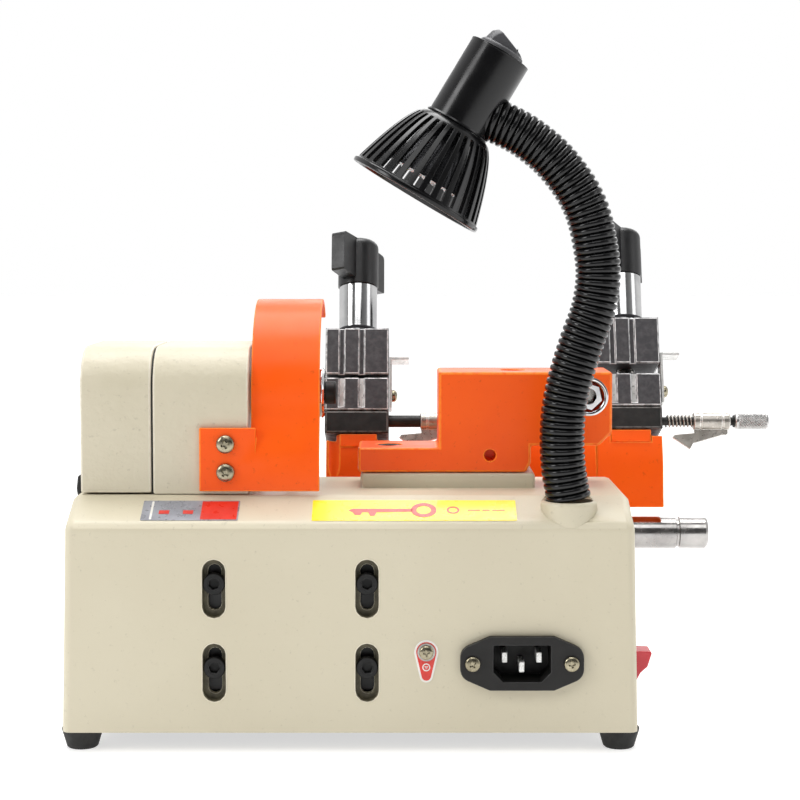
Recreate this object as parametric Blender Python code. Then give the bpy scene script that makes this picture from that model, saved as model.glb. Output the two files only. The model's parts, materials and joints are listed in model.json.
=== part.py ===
"""Key duplicating machine: cast base, belt-driven cutter, tracer, swinging carriage with two vises, lamp.

Metres, +Z up. The machine's rear faces -Y and its operator stands at +Y. While the shapes are made, X = 0 is
the middle of the base, Y = 0 its rear wall and Z = 0 the floor; the last step puts the origin at the bottom
centre of the whole machine's bounding box.
"""

import math

import bmesh
import bpy
from mathutils import Euler, Matrix, Vector

# ---------------------------------------------------------------- clearances and shared numbers
GAP = 0.0003              # between pieces that rest on each other
RUNNING = 0.00008         # radial clearance of a shaft in its bore
HOLE_CLEARANCE = 0.0003   # radial clearance of a screw in its hole
ROUND = 24                # sides of a shaft, a bore or a wheel
SMALL_ROUND = 14          # sides of a screw or a rod
PAST = 0.001              # how far a cutter runs past the face that it cuts
SHARP_ANGLE = math.radians(35)

# ---------------------------------------------------------------- base casting
BASE_WIDTH = 0.2345       # across the bottom
BASE_DRAFT = 0.002        # lean of each side wall, from the bottom to the plateau
BASE_DEPTH = 0.172
BASE_BOTTOM = 0.0085      # height of the casting's lower edge
REAR_TOP = 0.0935         # top of the vertical rear wall
PLATEAU = 0.103           # height of the flat top
BAND_DEPTH = 0.020        # depth of the sloped band behind the plateau
PLATEAU_FRONT = 0.084
EAR_TOP = 0.081           # end walls that carry the carriage shaft
EAR_REAR = 0.096
EAR_FRONT = 0.140
EAR_THICKNESS = 0.0145
LIP_TOP = 0.048           # front edge of the chip tray
TRAY_REAR_Z = 0.046
TRAY_FRONT_Z = 0.036
WALL = 0.005
REAR_WALL = 0.007
BASE_ROUNDING = 0.0035

PLATE_THICKNESS = 0.002
FOOT_RADIUS_TOP = 0.00865
FOOT_RADIUS_BOTTOM = 0.0065
FOOT_INSET_X = 0.0067
FOOT_INSET_Y = 0.0045

# ---------------------------------------------------------------- headstock, spindle and belt drive
SPINDLE_Y = 0.065
SPINDLE_Z = 0.142
HEAD_LEFT = -0.082
HEAD_RIGHT = -0.0425
HEAD_REAR = 0.021
HEAD_FRONT = 0.095
HEAD_TOP = 0.164
HEAD_ROUNDING = 0.017
COVER_LEFT = -0.112
COVER_JOINT = 0.0008      # open line between the cover and the headstock
COVER_WALL = 0.003
SPINDLE_RADIUS = 0.006
SHOULDER_RADIUS = 0.0095
ARBOR_RADIUS = 0.005
BEARING_RADIUS = 0.013
BEARING_WIDTH = 0.008
SPINDLE_PULLEY_RADIUS = 0.013
MOTOR_PULLEY_RADIUS = 0.016
PULLEY_FLANGE = 0.004     # how far a pulley's flanges stand above its groove
PULLEY_WIDTH = 0.013
PULLEY_X = -0.0975        # middle of both pulleys
BELT_WIDTH = 0.008
BELT_THICKNESS = 0.003
BELT_ROOM = 0.0024        # behind the belt's rear run, where it passes through the casting

# ---------------------------------------------------------------- cutter and its guard
CUTTER_X = -0.0278
CUTTER_RADIUS = 0.030
CUTTER_WIDTH = 0.005
CUTTER_TEETH = 24
TOOTH_DEPTH = 0.0016
NUT_RADIUS = 0.011
NUT_END = -0.0125
BOLT_RADIUS = 0.0048
BOLT_END = -0.0075
GUARD_RADIUS = 0.041
GUARD_LEFT = -0.0415
GUARD_RIGHT = -0.013
GUARD_SHEET = 0.0022
GUARD_BOTTOM = 0.1047
GUARD_FRONT_ANGLE = math.radians(35)   # how far the arch runs past its top, to the front
GUARD_REAR = 0.0185       # outer rear face at the bottom
TAB_LEFT = -0.0626
TAB_TOP = 0.131
GUARD_SCREW_X = -0.0517
GUARD_SCREW_Z = (0.1243, 0.1126)
PAN_HEAD_RADIUS = 0.0038
PAN_HEAD_HEIGHT = 0.0024

# ---------------------------------------------------------------- motor
MOTOR_RADIUS = 0.033
MOTOR_LEFT = -0.074
MOTOR_RIGHT = 0.026
MOTOR_SHAFT_RADIUS = 0.005
MOTOR_PAD = 0.005         # thickness of the pad that the four screws clamp
SLOT_X = (-0.055, 0.007)
SLOT_Z = (0.0675, 0.0332)
SLOT_LENGTH = 0.024
SLOT_WIDTH = 0.0096
SLOT_DEPTH = 0.0045
INNER_SLOT_LENGTH = 0.019
INNER_SLOT_WIDTH = 0.0056
MOTOR_SCREW_RAISE = 0.0018   # the screws sit a little above the middle of their slots
SOCKET_HEAD_RADIUS = 0.0044
SOCKET_HEAD_HEIGHT = 0.0040
MOTOR_SCREW_RADIUS = 0.0024

# ---------------------------------------------------------------- tracer block
BLOCK_REAR = 0.043
BLOCK_FRONT = 0.073
BOSS_LEFT = 0.0035
BOSS_RIGHT = 0.078
BOSS_HEIGHT = 0.0064
FOOT_LEFT = 0.0024
BLOCK_LEFT = 0.0367
BLOCK_RIGHT = 0.1107
FOOT_TOP = 0.1201
BLOCK_TOP = 0.1525
OVERHANG_Z = 0.121
LOWER_RIGHT = 0.0762
BLOCK_BOLT_X = (0.0156, 0.069)
BLOCK_BOLT_RADIUS = 0.0032
BLOCK_BOLT_HEAD = 0.0050
BLOCK_BOLT_HEAD_HEIGHT = 0.005
COUNTERBORE_RADIUS = 0.0055
TRACER_X = 0.1007
TRACER_TIP_Y = 0.0955
TRACER_RADIUS = 0.004
TRACER_COUNTERBORE = 0.0079
TRACER_COUNTERBORE_DEPTH = 0.006
TRACER_NUT_RADIUS = 0.0062
SET_SCREW_X = 0.0587
SET_SCREW_Z = 0.1169

# ---------------------------------------------------------------- lamp
LAMP_X = 0.0895
LAMP_Y = 0.012
COLLAR_RADIUS = 0.01125
COLLAR_BOTTOM = 0.089
COLLAR_TOP = 0.102
NECK_RADIUS = 0.00925
HEAD_X = 0.0608           # top of the lamp body, on its axis
HEAD_Z = 0.2837
HEAD_LEAN = math.radians(31)
LAMP_BODY_RADIUS = 0.013
LAMP_BODY_LENGTH = 0.034
SWITCH_RECESS_RADIUS = 0.0106
SWITCH_RECESS_DEPTH = 0.005
SWITCH_RADIUS = 0.0097
SHADE_TOP_RADIUS = 0.014
SHADE_RIM_RADIUS = 0.0285
SHADE_LENGTH = 0.0330
SHADE_WALL = 0.002
SHADE_BULGE = 0.62        # exponent of the bell: smaller is fuller
SHADE_RIBS = 32
BULB_RADIUS = 0.0175
# The arm's route, from the collar to the lamp body, in the plane Y = LAMP_Y.
NECK_ROUTE = (
    (0.0895, 0.1023), (0.0872, 0.1156), (0.0866, 0.1287), (0.0876, 0.1418), (0.0905, 0.1545),
    (0.0946, 0.1676), (0.0991, 0.1807), (0.1009, 0.1939), (0.0995, 0.2070), (0.0962, 0.2201),
    (0.0905, 0.2310), (0.0819, 0.2416), (0.0715, 0.2500), (0.0617, 0.2553),
)
NECK_SIDES = 12
NECK_STEPS = 2            # rings between two points of the route

# ---------------------------------------------------------------- mains inlet, earth screw, power switch
INLET_X = 0.0697
INLET_Z = 0.0375
INLET_LENGTH = 0.0484
INLET_STRAIGHT = 0.026    # length of the flange's straight top and bottom
INLET_HEIGHT = 0.022
INLET_FLANGE = 0.0028
INLET_SCREW_SPACING = 0.040
SOCKET_WIDTH = 0.0233
SOCKET_HEIGHT = 0.015
SOCKET_CORNER = 0.004
SOCKET_DEPTH = 0.0145
SHELL_WIDTH = 0.0265
SHELL_HEIGHT = 0.0185
SHELL_DEPTH = 0.022
PIN_SPACING = 0.007       # from the middle to each live pin
EARTH_X = 0.031
EARTH_Z = 0.0417
SWITCH_Y = 0.035
SWITCH_Z = 0.0265
ROCKER_HALF = 0.0106
ROCKER_WIDTH = 0.0115
ROCKER_TILT = math.radians(14)
BEZEL_THICKNESS = 0.0018
BEZEL_MARGIN = 0.0022
SWITCH_BODY_DEPTH = 0.016

# ---------------------------------------------------------------- carriage and its shaft
PIVOT_Y = 0.119
PIVOT_Z = 0.072
CARRIAGE_TILT = math.radians(20)   # how far the carriage leans away from the cutter at rest
SHAFT_RADIUS = 0.0075
SHAFT_LEFT = -0.118
SHAFT_RIGHT = 0.164
SHAFT_GROOVE_X = 0.150
BARREL_RADIUS = 0.0135
BARREL_LEFT = -0.014
BARREL_RIGHT = 0.096
BAR_LEFT = -0.014
BAR_RIGHT = 0.143
BAR_TOP = 0.036
RIB_LEFT = 0.060          # the bar is higher from here to its right shoulder
RIB_TOP = 0.039
BAR_REAR = -0.014
BAR_FRONT = 0.016
HANDLE_X = 0.064
HANDLE_HEIGHT = 0.027
HANDLE_RISE = math.radians(10)
HANDLE_RADIUS = 0.0048
HANDLE_LENGTH = 0.052
HANDLE_BALL = 0.011

# ---------------------------------------------------------------- vises
VISE_WIDTH = 0.030
VISE_REAR = -0.015
VISE_FRONT = 0.014
VISE_BLOCK = 0.0108
LOWER_JAW = 0.016
UPPER_JAW = 0.0228
GROOVE_OFFSETS = (-0.0072, 0.0022)
GROOVE_WIDTH = 0.0026
GROOVE_DEPTH = 0.0018
STUD_RADIUS = 0.004
SLEEVE_RADIUS = 0.0092
SLEEVE_NECK = 0.0024
SLEEVE_TOP = 0.0250       # above the upper jaw
HUB_RADIUS = 0.0098
HUB_HEIGHT = 0.024
KNOB_TRAVEL = 0.006       # room above the stud for the knob to be screwed down
WING_SPAN = 0.043
WING_THICKNESS = 0.006
WING_HEIGHT = 0.0205
WING_TURN = math.radians(64)
STOP_SHEET = 0.0012
STOP_TAB = 0.008
# side, middle in X, height of its seat on the carriage, opening of the jaws at rest
VISES = (
    ("left", 0.0, 0.0440, 0.0016),
    ("right", 0.1285, 0.0462, 0.0048),
)

# ---------------------------------------------------------------- gauge rod
GAUGE_V = -0.0098         # behind the vise's middle
GAUGE_W = 0.0512          # above the carriage shaft
GAUGE_RADIUS = 0.0020
GAUGE_LEFT_RADIUS = 0.0030    # of the rod's thicker part, through the left vise
GAUGE_STEP = 0.052        # where the rod gets thinner
GAUGE_LEFT = -0.013
GAUGE_SLEEVE_RADIUS = 0.0042
GAUGE_SLEEVE_START = 0.0299   # from the middle of its vise
GAUGE_SLEEVE_LENGTH = 0.0174
GAUGE_SPRING_RADIUS = 0.0029
GAUGE_KNOB_RADIUS = 0.00365
GAUGE_KNOB_LENGTH = 0.018
FINGER_SHEET = 0.0016


# ================================================================ tools
def clear_scene():
    for thing in list(bpy.data.objects):
        bpy.data.objects.remove(thing, do_unlink=True)


def material(name, colour, roughness, metallic=0.0):
    """A Principled material from an sRGB colour, 0 to 1."""
    made = bpy.data.materials.new(name)
    made.use_nodes = True
    shader = made.node_tree.nodes["Principled BSDF"]
    linear = [c / 12.92 if c <= 0.04045 else ((c + 0.055) / 1.055) ** 2.4 for c in colour]
    shader.inputs["Base Color"].default_value = (*linear, 1.0)
    shader.inputs["Roughness"].default_value = roughness
    shader.inputs["Metallic"].default_value = metallic
    return made


def frame_at(name, location, rotation=(0, 0, 0), parent=None):
    """An empty: the frame in which a group of pieces is made."""
    empty = bpy.data.objects.new(name, None)
    empty.location = location
    empty.rotation_euler = rotation
    empty.parent = parent
    bpy.context.collection.objects.link(empty)
    return empty


def piece(name, shape, finish, parent, origin=(0, 0, 0)):
    """An object from a bmesh given in its parent's frame, with its own origin at a chosen point."""
    shape.transform(Matrix.Translation(-Vector(origin)))
    bmesh.ops.recalc_face_normals(shape, faces=shape.faces)
    mesh = bpy.data.meshes.new(name)
    shape.to_mesh(mesh)
    shape.free()
    mesh.materials.append(finish)
    mesh.shade_smooth()
    mesh.set_sharp_from_angle(angle=SHARP_ANGLE)
    made = bpy.data.objects.new(name, mesh)
    made.location = origin
    made.parent = parent
    bpy.context.collection.objects.link(made)
    return made


def combine(target, shape, operation):
    """Cut a shape out of a piece, join it on or keep what they share. The shape is in its parent's frame."""
    order = len(target.modifiers)
    tool = piece(f"{target.name}_tool_{order}", shape, target.data.materials[0], target.parent)
    tool.hide_render = True
    tool.display_type = "WIRE"
    step = target.modifiers.new(f"{operation.lower()}_{order}", "BOOLEAN")
    step.operation = operation
    step.solver = "EXACT"
    step.object = tool


def cut(target, shape):
    combine(target, shape, "DIFFERENCE")


def join(target, shape):
    combine(target, shape, "UNION")


def circumscribed(radius, sides=ROUND):
    """Corner radius of a polygon that clears a round of the given radius."""
    return radius / math.cos(math.pi / sides)


def arc(centre, radius, start, end, steps):
    """Points on an arc, from the start angle to the end angle in degrees, both included."""
    angles = [math.radians(start + (end - start) * i / steps) for i in range(steps + 1)]
    return [(centre[0] + radius * math.cos(a), centre[1] + radius * math.sin(a)) for a in angles]


def rectangle(low, high):
    return [(low[0], low[1]), (high[0], low[1]), (high[0], high[1]), (low[0], high[1])]


def stadium(centre, width, length, steps=6):
    """A slot that runs along the second direction."""
    reach = (length - width) / 2
    top = arc((centre[0], centre[1] + reach), width / 2, 0, 180, steps)
    return top + arc((centre[0], centre[1] - reach), width / 2, 180, 360, steps)


def placed(point, along, axis):
    """A point of an outline in space: (Y, Z) along X, (X, Z) along Y, or (X, Y) along Z."""
    a, b = point
    return {"X": (along, a, b), "Y": (a, along, b), "Z": (a, b, along)}[axis]


def prism(outline, axis, low, high, shape=None):
    """A straight extrusion of an outline."""
    shape = shape or bmesh.new()
    ends = [[shape.verts.new(placed(p, along, axis)) for p in outline] for along in (low, high)]
    shape.faces.new(ends[0])
    shape.faces.new(list(reversed(ends[1])))
    for i in range(len(outline)):
        j = (i + 1) % len(outline)
        shape.faces.new((ends[0][i], ends[1][i], ends[1][j], ends[0][j]))
    return shape


def block(low, high, shape=None):
    """A rectangular block between two corners."""
    return prism(rectangle(low[:2], high[:2]), "Z", low[2], high[2], shape)


def turned(profile, centre, axis, sides=ROUND, hollow=False, shape=None):
    """A solid of revolution of (radius, place along the axis) pairs; a hollow one closes on itself."""
    shape = shape or bmesh.new()
    rings = []
    for radius, along in profile:
        points = [(0.0, 0.0)] if radius == 0 else [
            (radius * math.cos(math.tau * (i + 0.5) / sides), radius * math.sin(math.tau * (i + 0.5) / sides))
            for i in range(sides)
        ]
        at = {"X": (centre[1], centre[2]), "Y": (centre[0], centre[2]), "Z": (centre[0], centre[1])}[axis]
        base = {"X": centre[0], "Y": centre[1], "Z": centre[2]}[axis]
        rings.append([
            shape.verts.new(placed((at[0] + a, at[1] + b), base + along, axis)) for a, b in points
        ])
    pairs = list(zip(rings, rings[1:]))
    if hollow:
        pairs.append((rings[-1], rings[0]))
    for one, two in pairs:
        for i in range(sides):
            j = (i + 1) % sides
            corners = [one[i % len(one)], one[j % len(one)], two[j % len(two)], two[i % len(two)]]
            shape.faces.new(list(dict.fromkeys(corners)))
    if not hollow:
        for ring in (rings[0], rings[-1]):
            if len(ring) > 1:
                shape.faces.new(ring)
    return shape


def rod(radius, centre, axis, low, high, sides=ROUND, shape=None):
    """A plain round bar from low to high along an axis through the centre."""
    start = {"X": (0, centre[1], centre[2]), "Y": (centre[0], 0, centre[2]), "Z": (centre[0], centre[1], 0)}
    return turned([(radius, low), (radius, high)], start[axis], axis, sides, shape=shape)


def soften(shape, width, segments=2, keep=None):
    """Round a shape's sharp edges, or those that the test picks out."""
    bmesh.ops.recalc_face_normals(shape, faces=shape.faces)
    edges = [
        e for e in shape.edges
        if len(e.link_faces) == 2 and e.calc_face_angle() > SHARP_ANGLE and (keep is None or keep(e))
    ]
    bmesh.ops.bevel(
        shape, geom=edges, offset=width, segments=segments, profile=0.5, affect="EDGES", clamp_overlap=True
    )
    return shape


def screw(head_radius, head_height, shank_radius, shank_length, seat, sides=SMALL_ROUND, dome=0.0):
    """A screw driven along +Y, its head's underside at the seat."""
    profile = [(head_radius * 0.55, -head_height - dome)] if dome else []
    profile += [(head_radius, -head_height), (head_radius, 0)]
    profile += [(shank_radius, 0), (shank_radius, shank_length)]
    return turned(profile, seat, "Y", sides)


# ================================================================ finishes
def make_finishes():
    return {
        "cream": material("cream_paint", (0.80, 0.77, 0.69), 0.45),
        "orange": material("orange_paint", (1.00, 0.41, 0.08), 0.32),
        "black_plastic": material("black_plastic", (0.10, 0.10, 0.11), 0.35),
        "gloss_black": material("gloss_black_plastic", (0.05, 0.05, 0.06), 0.15),
        "rubber": material("rubber", (0.09, 0.09, 0.09), 0.75),
        "steel": material("vise_steel", (0.33, 0.32, 0.33), 0.45, 0.8),
        "chrome": material("chrome", (0.80, 0.80, 0.80), 0.12, 1.0),
        "blackened": material("blackened_steel", (0.13, 0.13, 0.14), 0.5, 0.6),
        "tool": material("tool_steel", (0.62, 0.61, 0.58), 0.3, 1.0),
        "cast": material("motor_paint", (0.22, 0.23, 0.25), 0.55),
        "red": material("red_plastic", (0.85, 0.16, 0.22), 0.3),
        "glass": material("lens", (0.92, 0.93, 0.95), 0.1),
    }


# ================================================================ base
def side_at(height):
    """Half width of the base at a height: its sides lean in."""
    share = (height - BASE_BOTTOM) / (PLATEAU - BASE_BOTTOM)
    return BASE_WIDTH / 2 - BASE_DRAFT * share


def base_outline():
    return [
        (0, BASE_BOTTOM), (BASE_DEPTH, BASE_BOTTOM), (BASE_DEPTH, LIP_TOP), (EAR_FRONT, EAR_TOP),
        (EAR_REAR, EAR_TOP), (PLATEAU_FRONT, PLATEAU), (BAND_DEPTH, PLATEAU), (0, REAR_TOP),
    ]


def make_base(finish, parent):
    shape = prism(base_outline(), "X", -1.0, 1.0)
    for vertex in shape.verts:
        vertex.co.x *= side_at(vertex.co.z)
    soften(shape, BASE_ROUNDING, 3, lambda e: max(v.co.z for v in e.verts) > BASE_BOTTOM + PAST)
    base = piece("base_casting", shape, finish["cream"], parent)

    inside = BASE_WIDTH / 2 - BASE_DRAFT - WALL
    ear_inside = BASE_WIDTH / 2 - EAR_THICKNESS
    lip = BASE_DEPTH - WALL
    tray = [
        (PLATEAU_FRONT, TRAY_REAR_Z), (lip, TRAY_FRONT_Z), (lip, PLATEAU + PAST),
        (PLATEAU_FRONT, PLATEAU + PAST),
    ]
    cut(base, prism(tray, "X", -ear_inside, ear_inside))
    cavity = [
        (REAR_WALL, BASE_BOTTOM - PAST), (lip, BASE_BOTTOM - PAST), (lip, TRAY_FRONT_Z - WALL),
        (PLATEAU_FRONT - WALL, TRAY_REAR_Z - WALL), (PLATEAU_FRONT - WALL, PLATEAU - WALL),
        (BAND_DEPTH + REAR_WALL, PLATEAU - WALL), (REAR_WALL, REAR_TOP - WALL),
    ]
    cut(base, prism(cavity, "X", -inside, inside))

    boss = prism(rectangle((BOSS_LEFT, BLOCK_REAR), (BOSS_RIGHT, BLOCK_FRONT)), "Z", PLATEAU - WALL / 2,
                 PLATEAU + BOSS_HEIGHT)
    join(base, soften(boss, 0.0015, 2))

    holes = bmesh.new()
    for x in SLOT_X:
        for z in SLOT_Z:
            prism(stadium((x, z), SLOT_WIDTH, SLOT_LENGTH), "Y", -PAST, SLOT_DEPTH, holes)
    cut(base, holes)
    through = bmesh.new()
    for x in SLOT_X:
        for z in SLOT_Z:
            prism(stadium((x, z), INNER_SLOT_WIDTH, INNER_SLOT_LENGTH), "Y", SLOT_DEPTH - PAST,
                  REAR_WALL + PAST, through)
    shell = (SHELL_WIDTH / 2 + GAP, SHELL_HEIGHT / 2 + GAP)
    prism(rectangle((INLET_X - shell[0], INLET_Z - shell[1]), (INLET_X + shell[0], INLET_Z + shell[1])), "Y",
          -PAST, REAR_WALL + PAST, through)
    shank = circumscribed(0.0015 + HOLE_CLEARANCE, SMALL_ROUND)
    for x in (INLET_X - INLET_SCREW_SPACING / 2, INLET_X + INLET_SCREW_SPACING / 2):
        rod(shank, (x, 0, INLET_Z), "Y", -PAST, REAR_WALL + PAST, SMALL_ROUND, through)
    rod(circumscribed(0.002 + HOLE_CLEARANCE, SMALL_ROUND), (EARTH_X, 0, EARTH_Z), "Y", -PAST,
        REAR_WALL + PAST, SMALL_ROUND, through)
    cut(base, through)

    openings = bmesh.new()
    half = PULLEY_WIDTH / 2 + GAP
    belt_rear = belt_rear_at(PLATEAU - WALL) - BELT_ROOM
    block((PULLEY_X - half, belt_rear, PLATEAU - WALL - PAST),
          (PULLEY_X + half, PLATEAU_FRONT - WALL - PAST, PLATEAU + PAST), openings)
    rod(circumscribed(COLLAR_RADIUS + GAP), (LAMP_X, LAMP_Y, 0), "Z", COLLAR_BOTTOM - GAP, PLATEAU + PAST,
        ROUND, openings)
    for x in BLOCK_BOLT_X:
        rod(circumscribed(BLOCK_BOLT_RADIUS + HOLE_CLEARANCE, SMALL_ROUND), (x, block_middle(), 0), "Z",
            PLATEAU - WALL / 4, PLATEAU + BOSS_HEIGHT + PAST, SMALL_ROUND, openings)
    switch_half = (ROCKER_WIDTH / 2 + BEZEL_MARGIN / 2 + GAP, ROCKER_HALF + BEZEL_MARGIN / 2 + GAP)
    block((inside - PAST, SWITCH_Y - switch_half[0], SWITCH_Z - switch_half[1]),
          (BASE_WIDTH / 2 + PAST, SWITCH_Y + switch_half[0], SWITCH_Z + switch_half[1]), openings)
    cut(base, openings)
    bore = circumscribed(SHAFT_RADIUS + RUNNING)
    cut(base, rod(bore, (0, PIVOT_Y, PIVOT_Z), "X", -BASE_WIDTH, BASE_WIDTH))


def block_middle():
    return (BLOCK_REAR + BLOCK_FRONT) / 2


def make_bottom_plate(finish, parent):
    inside = BASE_WIDTH / 2 - BASE_DRAFT - WALL - GAP
    block_low = (-inside, REAR_WALL + GAP, BASE_BOTTOM)
    block_high = (inside, BASE_DEPTH - WALL - GAP, BASE_BOTTOM + PLATE_THICKNESS)
    piece("bottom_plate", block(block_low, block_high), finish["blackened"], parent)


def make_feet(finish, parent):
    """Four tapered rubber feet, under the bottom plate's corners."""
    top = BASE_BOTTOM - GAP
    profile = [(FOOT_RADIUS_BOTTOM - 0.0008, 0), (FOOT_RADIUS_BOTTOM, 0.0008), (FOOT_RADIUS_TOP, top)]
    for row, y in (("rear", FOOT_INSET_Y + REAR_WALL), ("front", BASE_DEPTH - FOOT_INSET_Y - WALL)):
        for side, sign in (("left", -1), ("right", 1)):
            x = sign * (BASE_WIDTH / 2 - FOOT_INSET_X)
            piece(f"foot_{row}_{side}", turned(profile, (x, y, 0), "Z", 24), finish["rubber"], parent)


# ================================================================ headstock and belt drive
def arched_outline(rear, front, bottom, top, rounding):
    """The headstock's side outline: upright walls with rounded upper corners."""
    return (
        [(rear, bottom), (front, bottom)]
        + arc((front - rounding, top - rounding), rounding, 0, 90, 6)
        + arc((rear + rounding, top - rounding), rounding, 90, 180, 6)
    )


def make_headstock(finish, parent):
    bottom = PLATEAU + GAP
    head = piece(
        "headstock",
        prism(arched_outline(HEAD_REAR, HEAD_FRONT, bottom, HEAD_TOP, HEAD_ROUNDING), "X",
              HEAD_LEFT, HEAD_RIGHT),
        finish["cream"], parent,
    )
    seat = circumscribed(BEARING_RADIUS + GAP)
    shaft = circumscribed(SPINDLE_RADIUS + 0.002)
    depth = BEARING_WIDTH + GAP
    profile = [
        (seat, HEAD_LEFT - PAST), (seat, HEAD_LEFT + depth), (shaft, HEAD_LEFT + depth),
        (shaft, HEAD_RIGHT - depth), (seat, HEAD_RIGHT - depth), (seat, HEAD_RIGHT + PAST),
    ]
    cut(head, turned(profile, (0, SPINDLE_Y, SPINDLE_Z), "X"))
    taps = bmesh.new()
    for z in GUARD_SCREW_Z:
        rod(circumscribed(0.0018 + HOLE_CLEARANCE, SMALL_ROUND), (GUARD_SCREW_X, 0, z), "Y",
            HEAD_REAR - PAST, HEAD_REAR + 0.009, SMALL_ROUND, taps)
    cut(head, taps)


def make_belt_cover(finish, parent):
    """A shell, open towards the headstock and downwards."""
    right = HEAD_LEFT - COVER_JOINT
    bottom = PLATEAU + COVER_JOINT
    cover = piece(
        "belt_cover",
        prism(arched_outline(HEAD_REAR, HEAD_FRONT, bottom, HEAD_TOP, HEAD_ROUNDING), "X", COVER_LEFT, right),
        finish["cream"], parent,
    )
    hollow = arched_outline(
        HEAD_REAR + COVER_WALL, HEAD_FRONT - COVER_WALL, bottom - PAST, HEAD_TOP - COVER_WALL,
        HEAD_ROUNDING - COVER_WALL,
    )
    cut(cover, prism(hollow, "X", COVER_LEFT + COVER_WALL, right + PAST))


def make_bearings(finish, parent):
    inner = circumscribed(SPINDLE_RADIUS + RUNNING)
    for side, low in (("left", HEAD_LEFT), ("right", HEAD_RIGHT - BEARING_WIDTH)):
        high = low + BEARING_WIDTH
        profile = [(inner, low), (BEARING_RADIUS, low), (BEARING_RADIUS, high), (inner, high)]
        piece(f"spindle_bearing_{side}", turned(profile, (0, SPINDLE_Y, SPINDLE_Z), "X", hollow=True),
              finish["tool"], parent)


def pulley_profile(groove, bore):
    """A flanged pulley's section, about its middle."""
    edge = PULLEY_WIDTH / 2
    floor = BELT_WIDTH / 2 + 2 * GAP
    rim = groove + PULLEY_FLANGE
    return [(bore, -edge), (rim, -edge), (rim, -floor), (groove, -floor), (groove, floor), (rim, floor),
            (rim, edge), (bore, edge)]


def make_spindle(finish, parent):
    at = (0, SPINDLE_Y, SPINDLE_Z)
    left = PULLEY_X - PULLEY_WIDTH / 2
    cutter_left = CUTTER_X - CUTTER_WIDTH / 2
    profile = [
        (SPINDLE_RADIUS - 0.001, left - 0.001), (SPINDLE_RADIUS, left),
        (SPINDLE_RADIUS, HEAD_RIGHT + 2 * GAP),
        (SHOULDER_RADIUS, HEAD_RIGHT + 2 * GAP), (SHOULDER_RADIUS, cutter_left - GAP),
        (ARBOR_RADIUS, cutter_left - GAP), (ARBOR_RADIUS, CUTTER_X + CUTTER_WIDTH / 2 + 0.004),
    ]
    spindle = piece("spindle", turned(profile, at, "X"), finish["tool"], parent, at)
    tap = circumscribed(0.0025 + HOLE_CLEARANCE, SMALL_ROUND)
    cut(spindle, rod(tap, at, "X", cutter_left, CUTTER_X + 0.02, SMALL_ROUND))
    bore = circumscribed(SPINDLE_RADIUS + GAP)
    shape = turned(pulley_profile(SPINDLE_PULLEY_RADIUS, bore), (PULLEY_X, *at[1:]), "X", hollow=True)
    piece("spindle_pulley", shape, finish["cast"], parent, at)


def make_cutter(finish, parent):
    """The slotted cutter wheel, its nut and the bolt in the spindle's end."""
    at = (0, SPINDLE_Y, SPINDLE_Z)
    half = CUTTER_WIDTH / 2
    bore = circumscribed(ARBOR_RADIUS + GAP)
    root = CUTTER_RADIUS - TOOTH_DEPTH
    profile = [(bore, CUTTER_X - half), (root - 0.004, CUTTER_X - half), (root, CUTTER_X - 0.0006),
               (root, CUTTER_X + 0.0006), (root - 0.004, CUTTER_X + half), (bore, CUTTER_X + half)]
    wheel = turned(profile, at, "X", 2 * CUTTER_TEETH, hollow=True)
    for vertex in wheel.verts:
        offset = Vector((vertex.co.y - at[1], vertex.co.z - at[2]))
        if offset.length > root - 0.0001:
            step = round((math.atan2(offset.y, offset.x) / math.tau) * 2 * CUTTER_TEETH - 0.5)
            grow = CUTTER_RADIUS / root if step % 2 else 1.0
            vertex.co.y = at[1] + offset.x * grow
            vertex.co.z = at[2] + offset.y * grow
    piece("cutter_wheel", wheel, finish["tool"], parent, at)

    nut_left = CUTTER_X + half + GAP
    bolt_seat = NUT_END + GAP
    clear = circumscribed(ARBOR_RADIUS + GAP)
    shank = circumscribed(0.0025 + HOLE_CLEARANCE, SMALL_ROUND)
    inner = CUTTER_X + half + 0.0045
    nut = [(clear, nut_left), (NUT_RADIUS - 0.002, nut_left), (NUT_RADIUS, nut_left + 0.004),
           (NUT_RADIUS, NUT_END - 0.001), (NUT_RADIUS - 0.001, NUT_END), (shank, NUT_END), (shank, inner),
           (clear, inner)]
    piece("cutter_nut", turned(nut, at, "X", 24, hollow=True), finish["chrome"], parent, at)
    bolt = [(0.0025, cutter_bolt_start()), (0.0025, bolt_seat), (BOLT_RADIUS, bolt_seat),
            (BOLT_RADIUS, BOLT_END - 0.0006), (BOLT_RADIUS - 0.0006, BOLT_END)]
    shape = piece("cutter_bolt", turned(bolt, at, "X", SMALL_ROUND), finish["blackened"], parent, at)
    hexagon = turned([(0.0025, BOLT_END - 0.0028), (0.0025, BOLT_END + PAST)], at, "X", 6)
    cut(shape, hexagon)


def cutter_bolt_start():
    return CUTTER_X - CUTTER_WIDTH / 2 + 0.001


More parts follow.
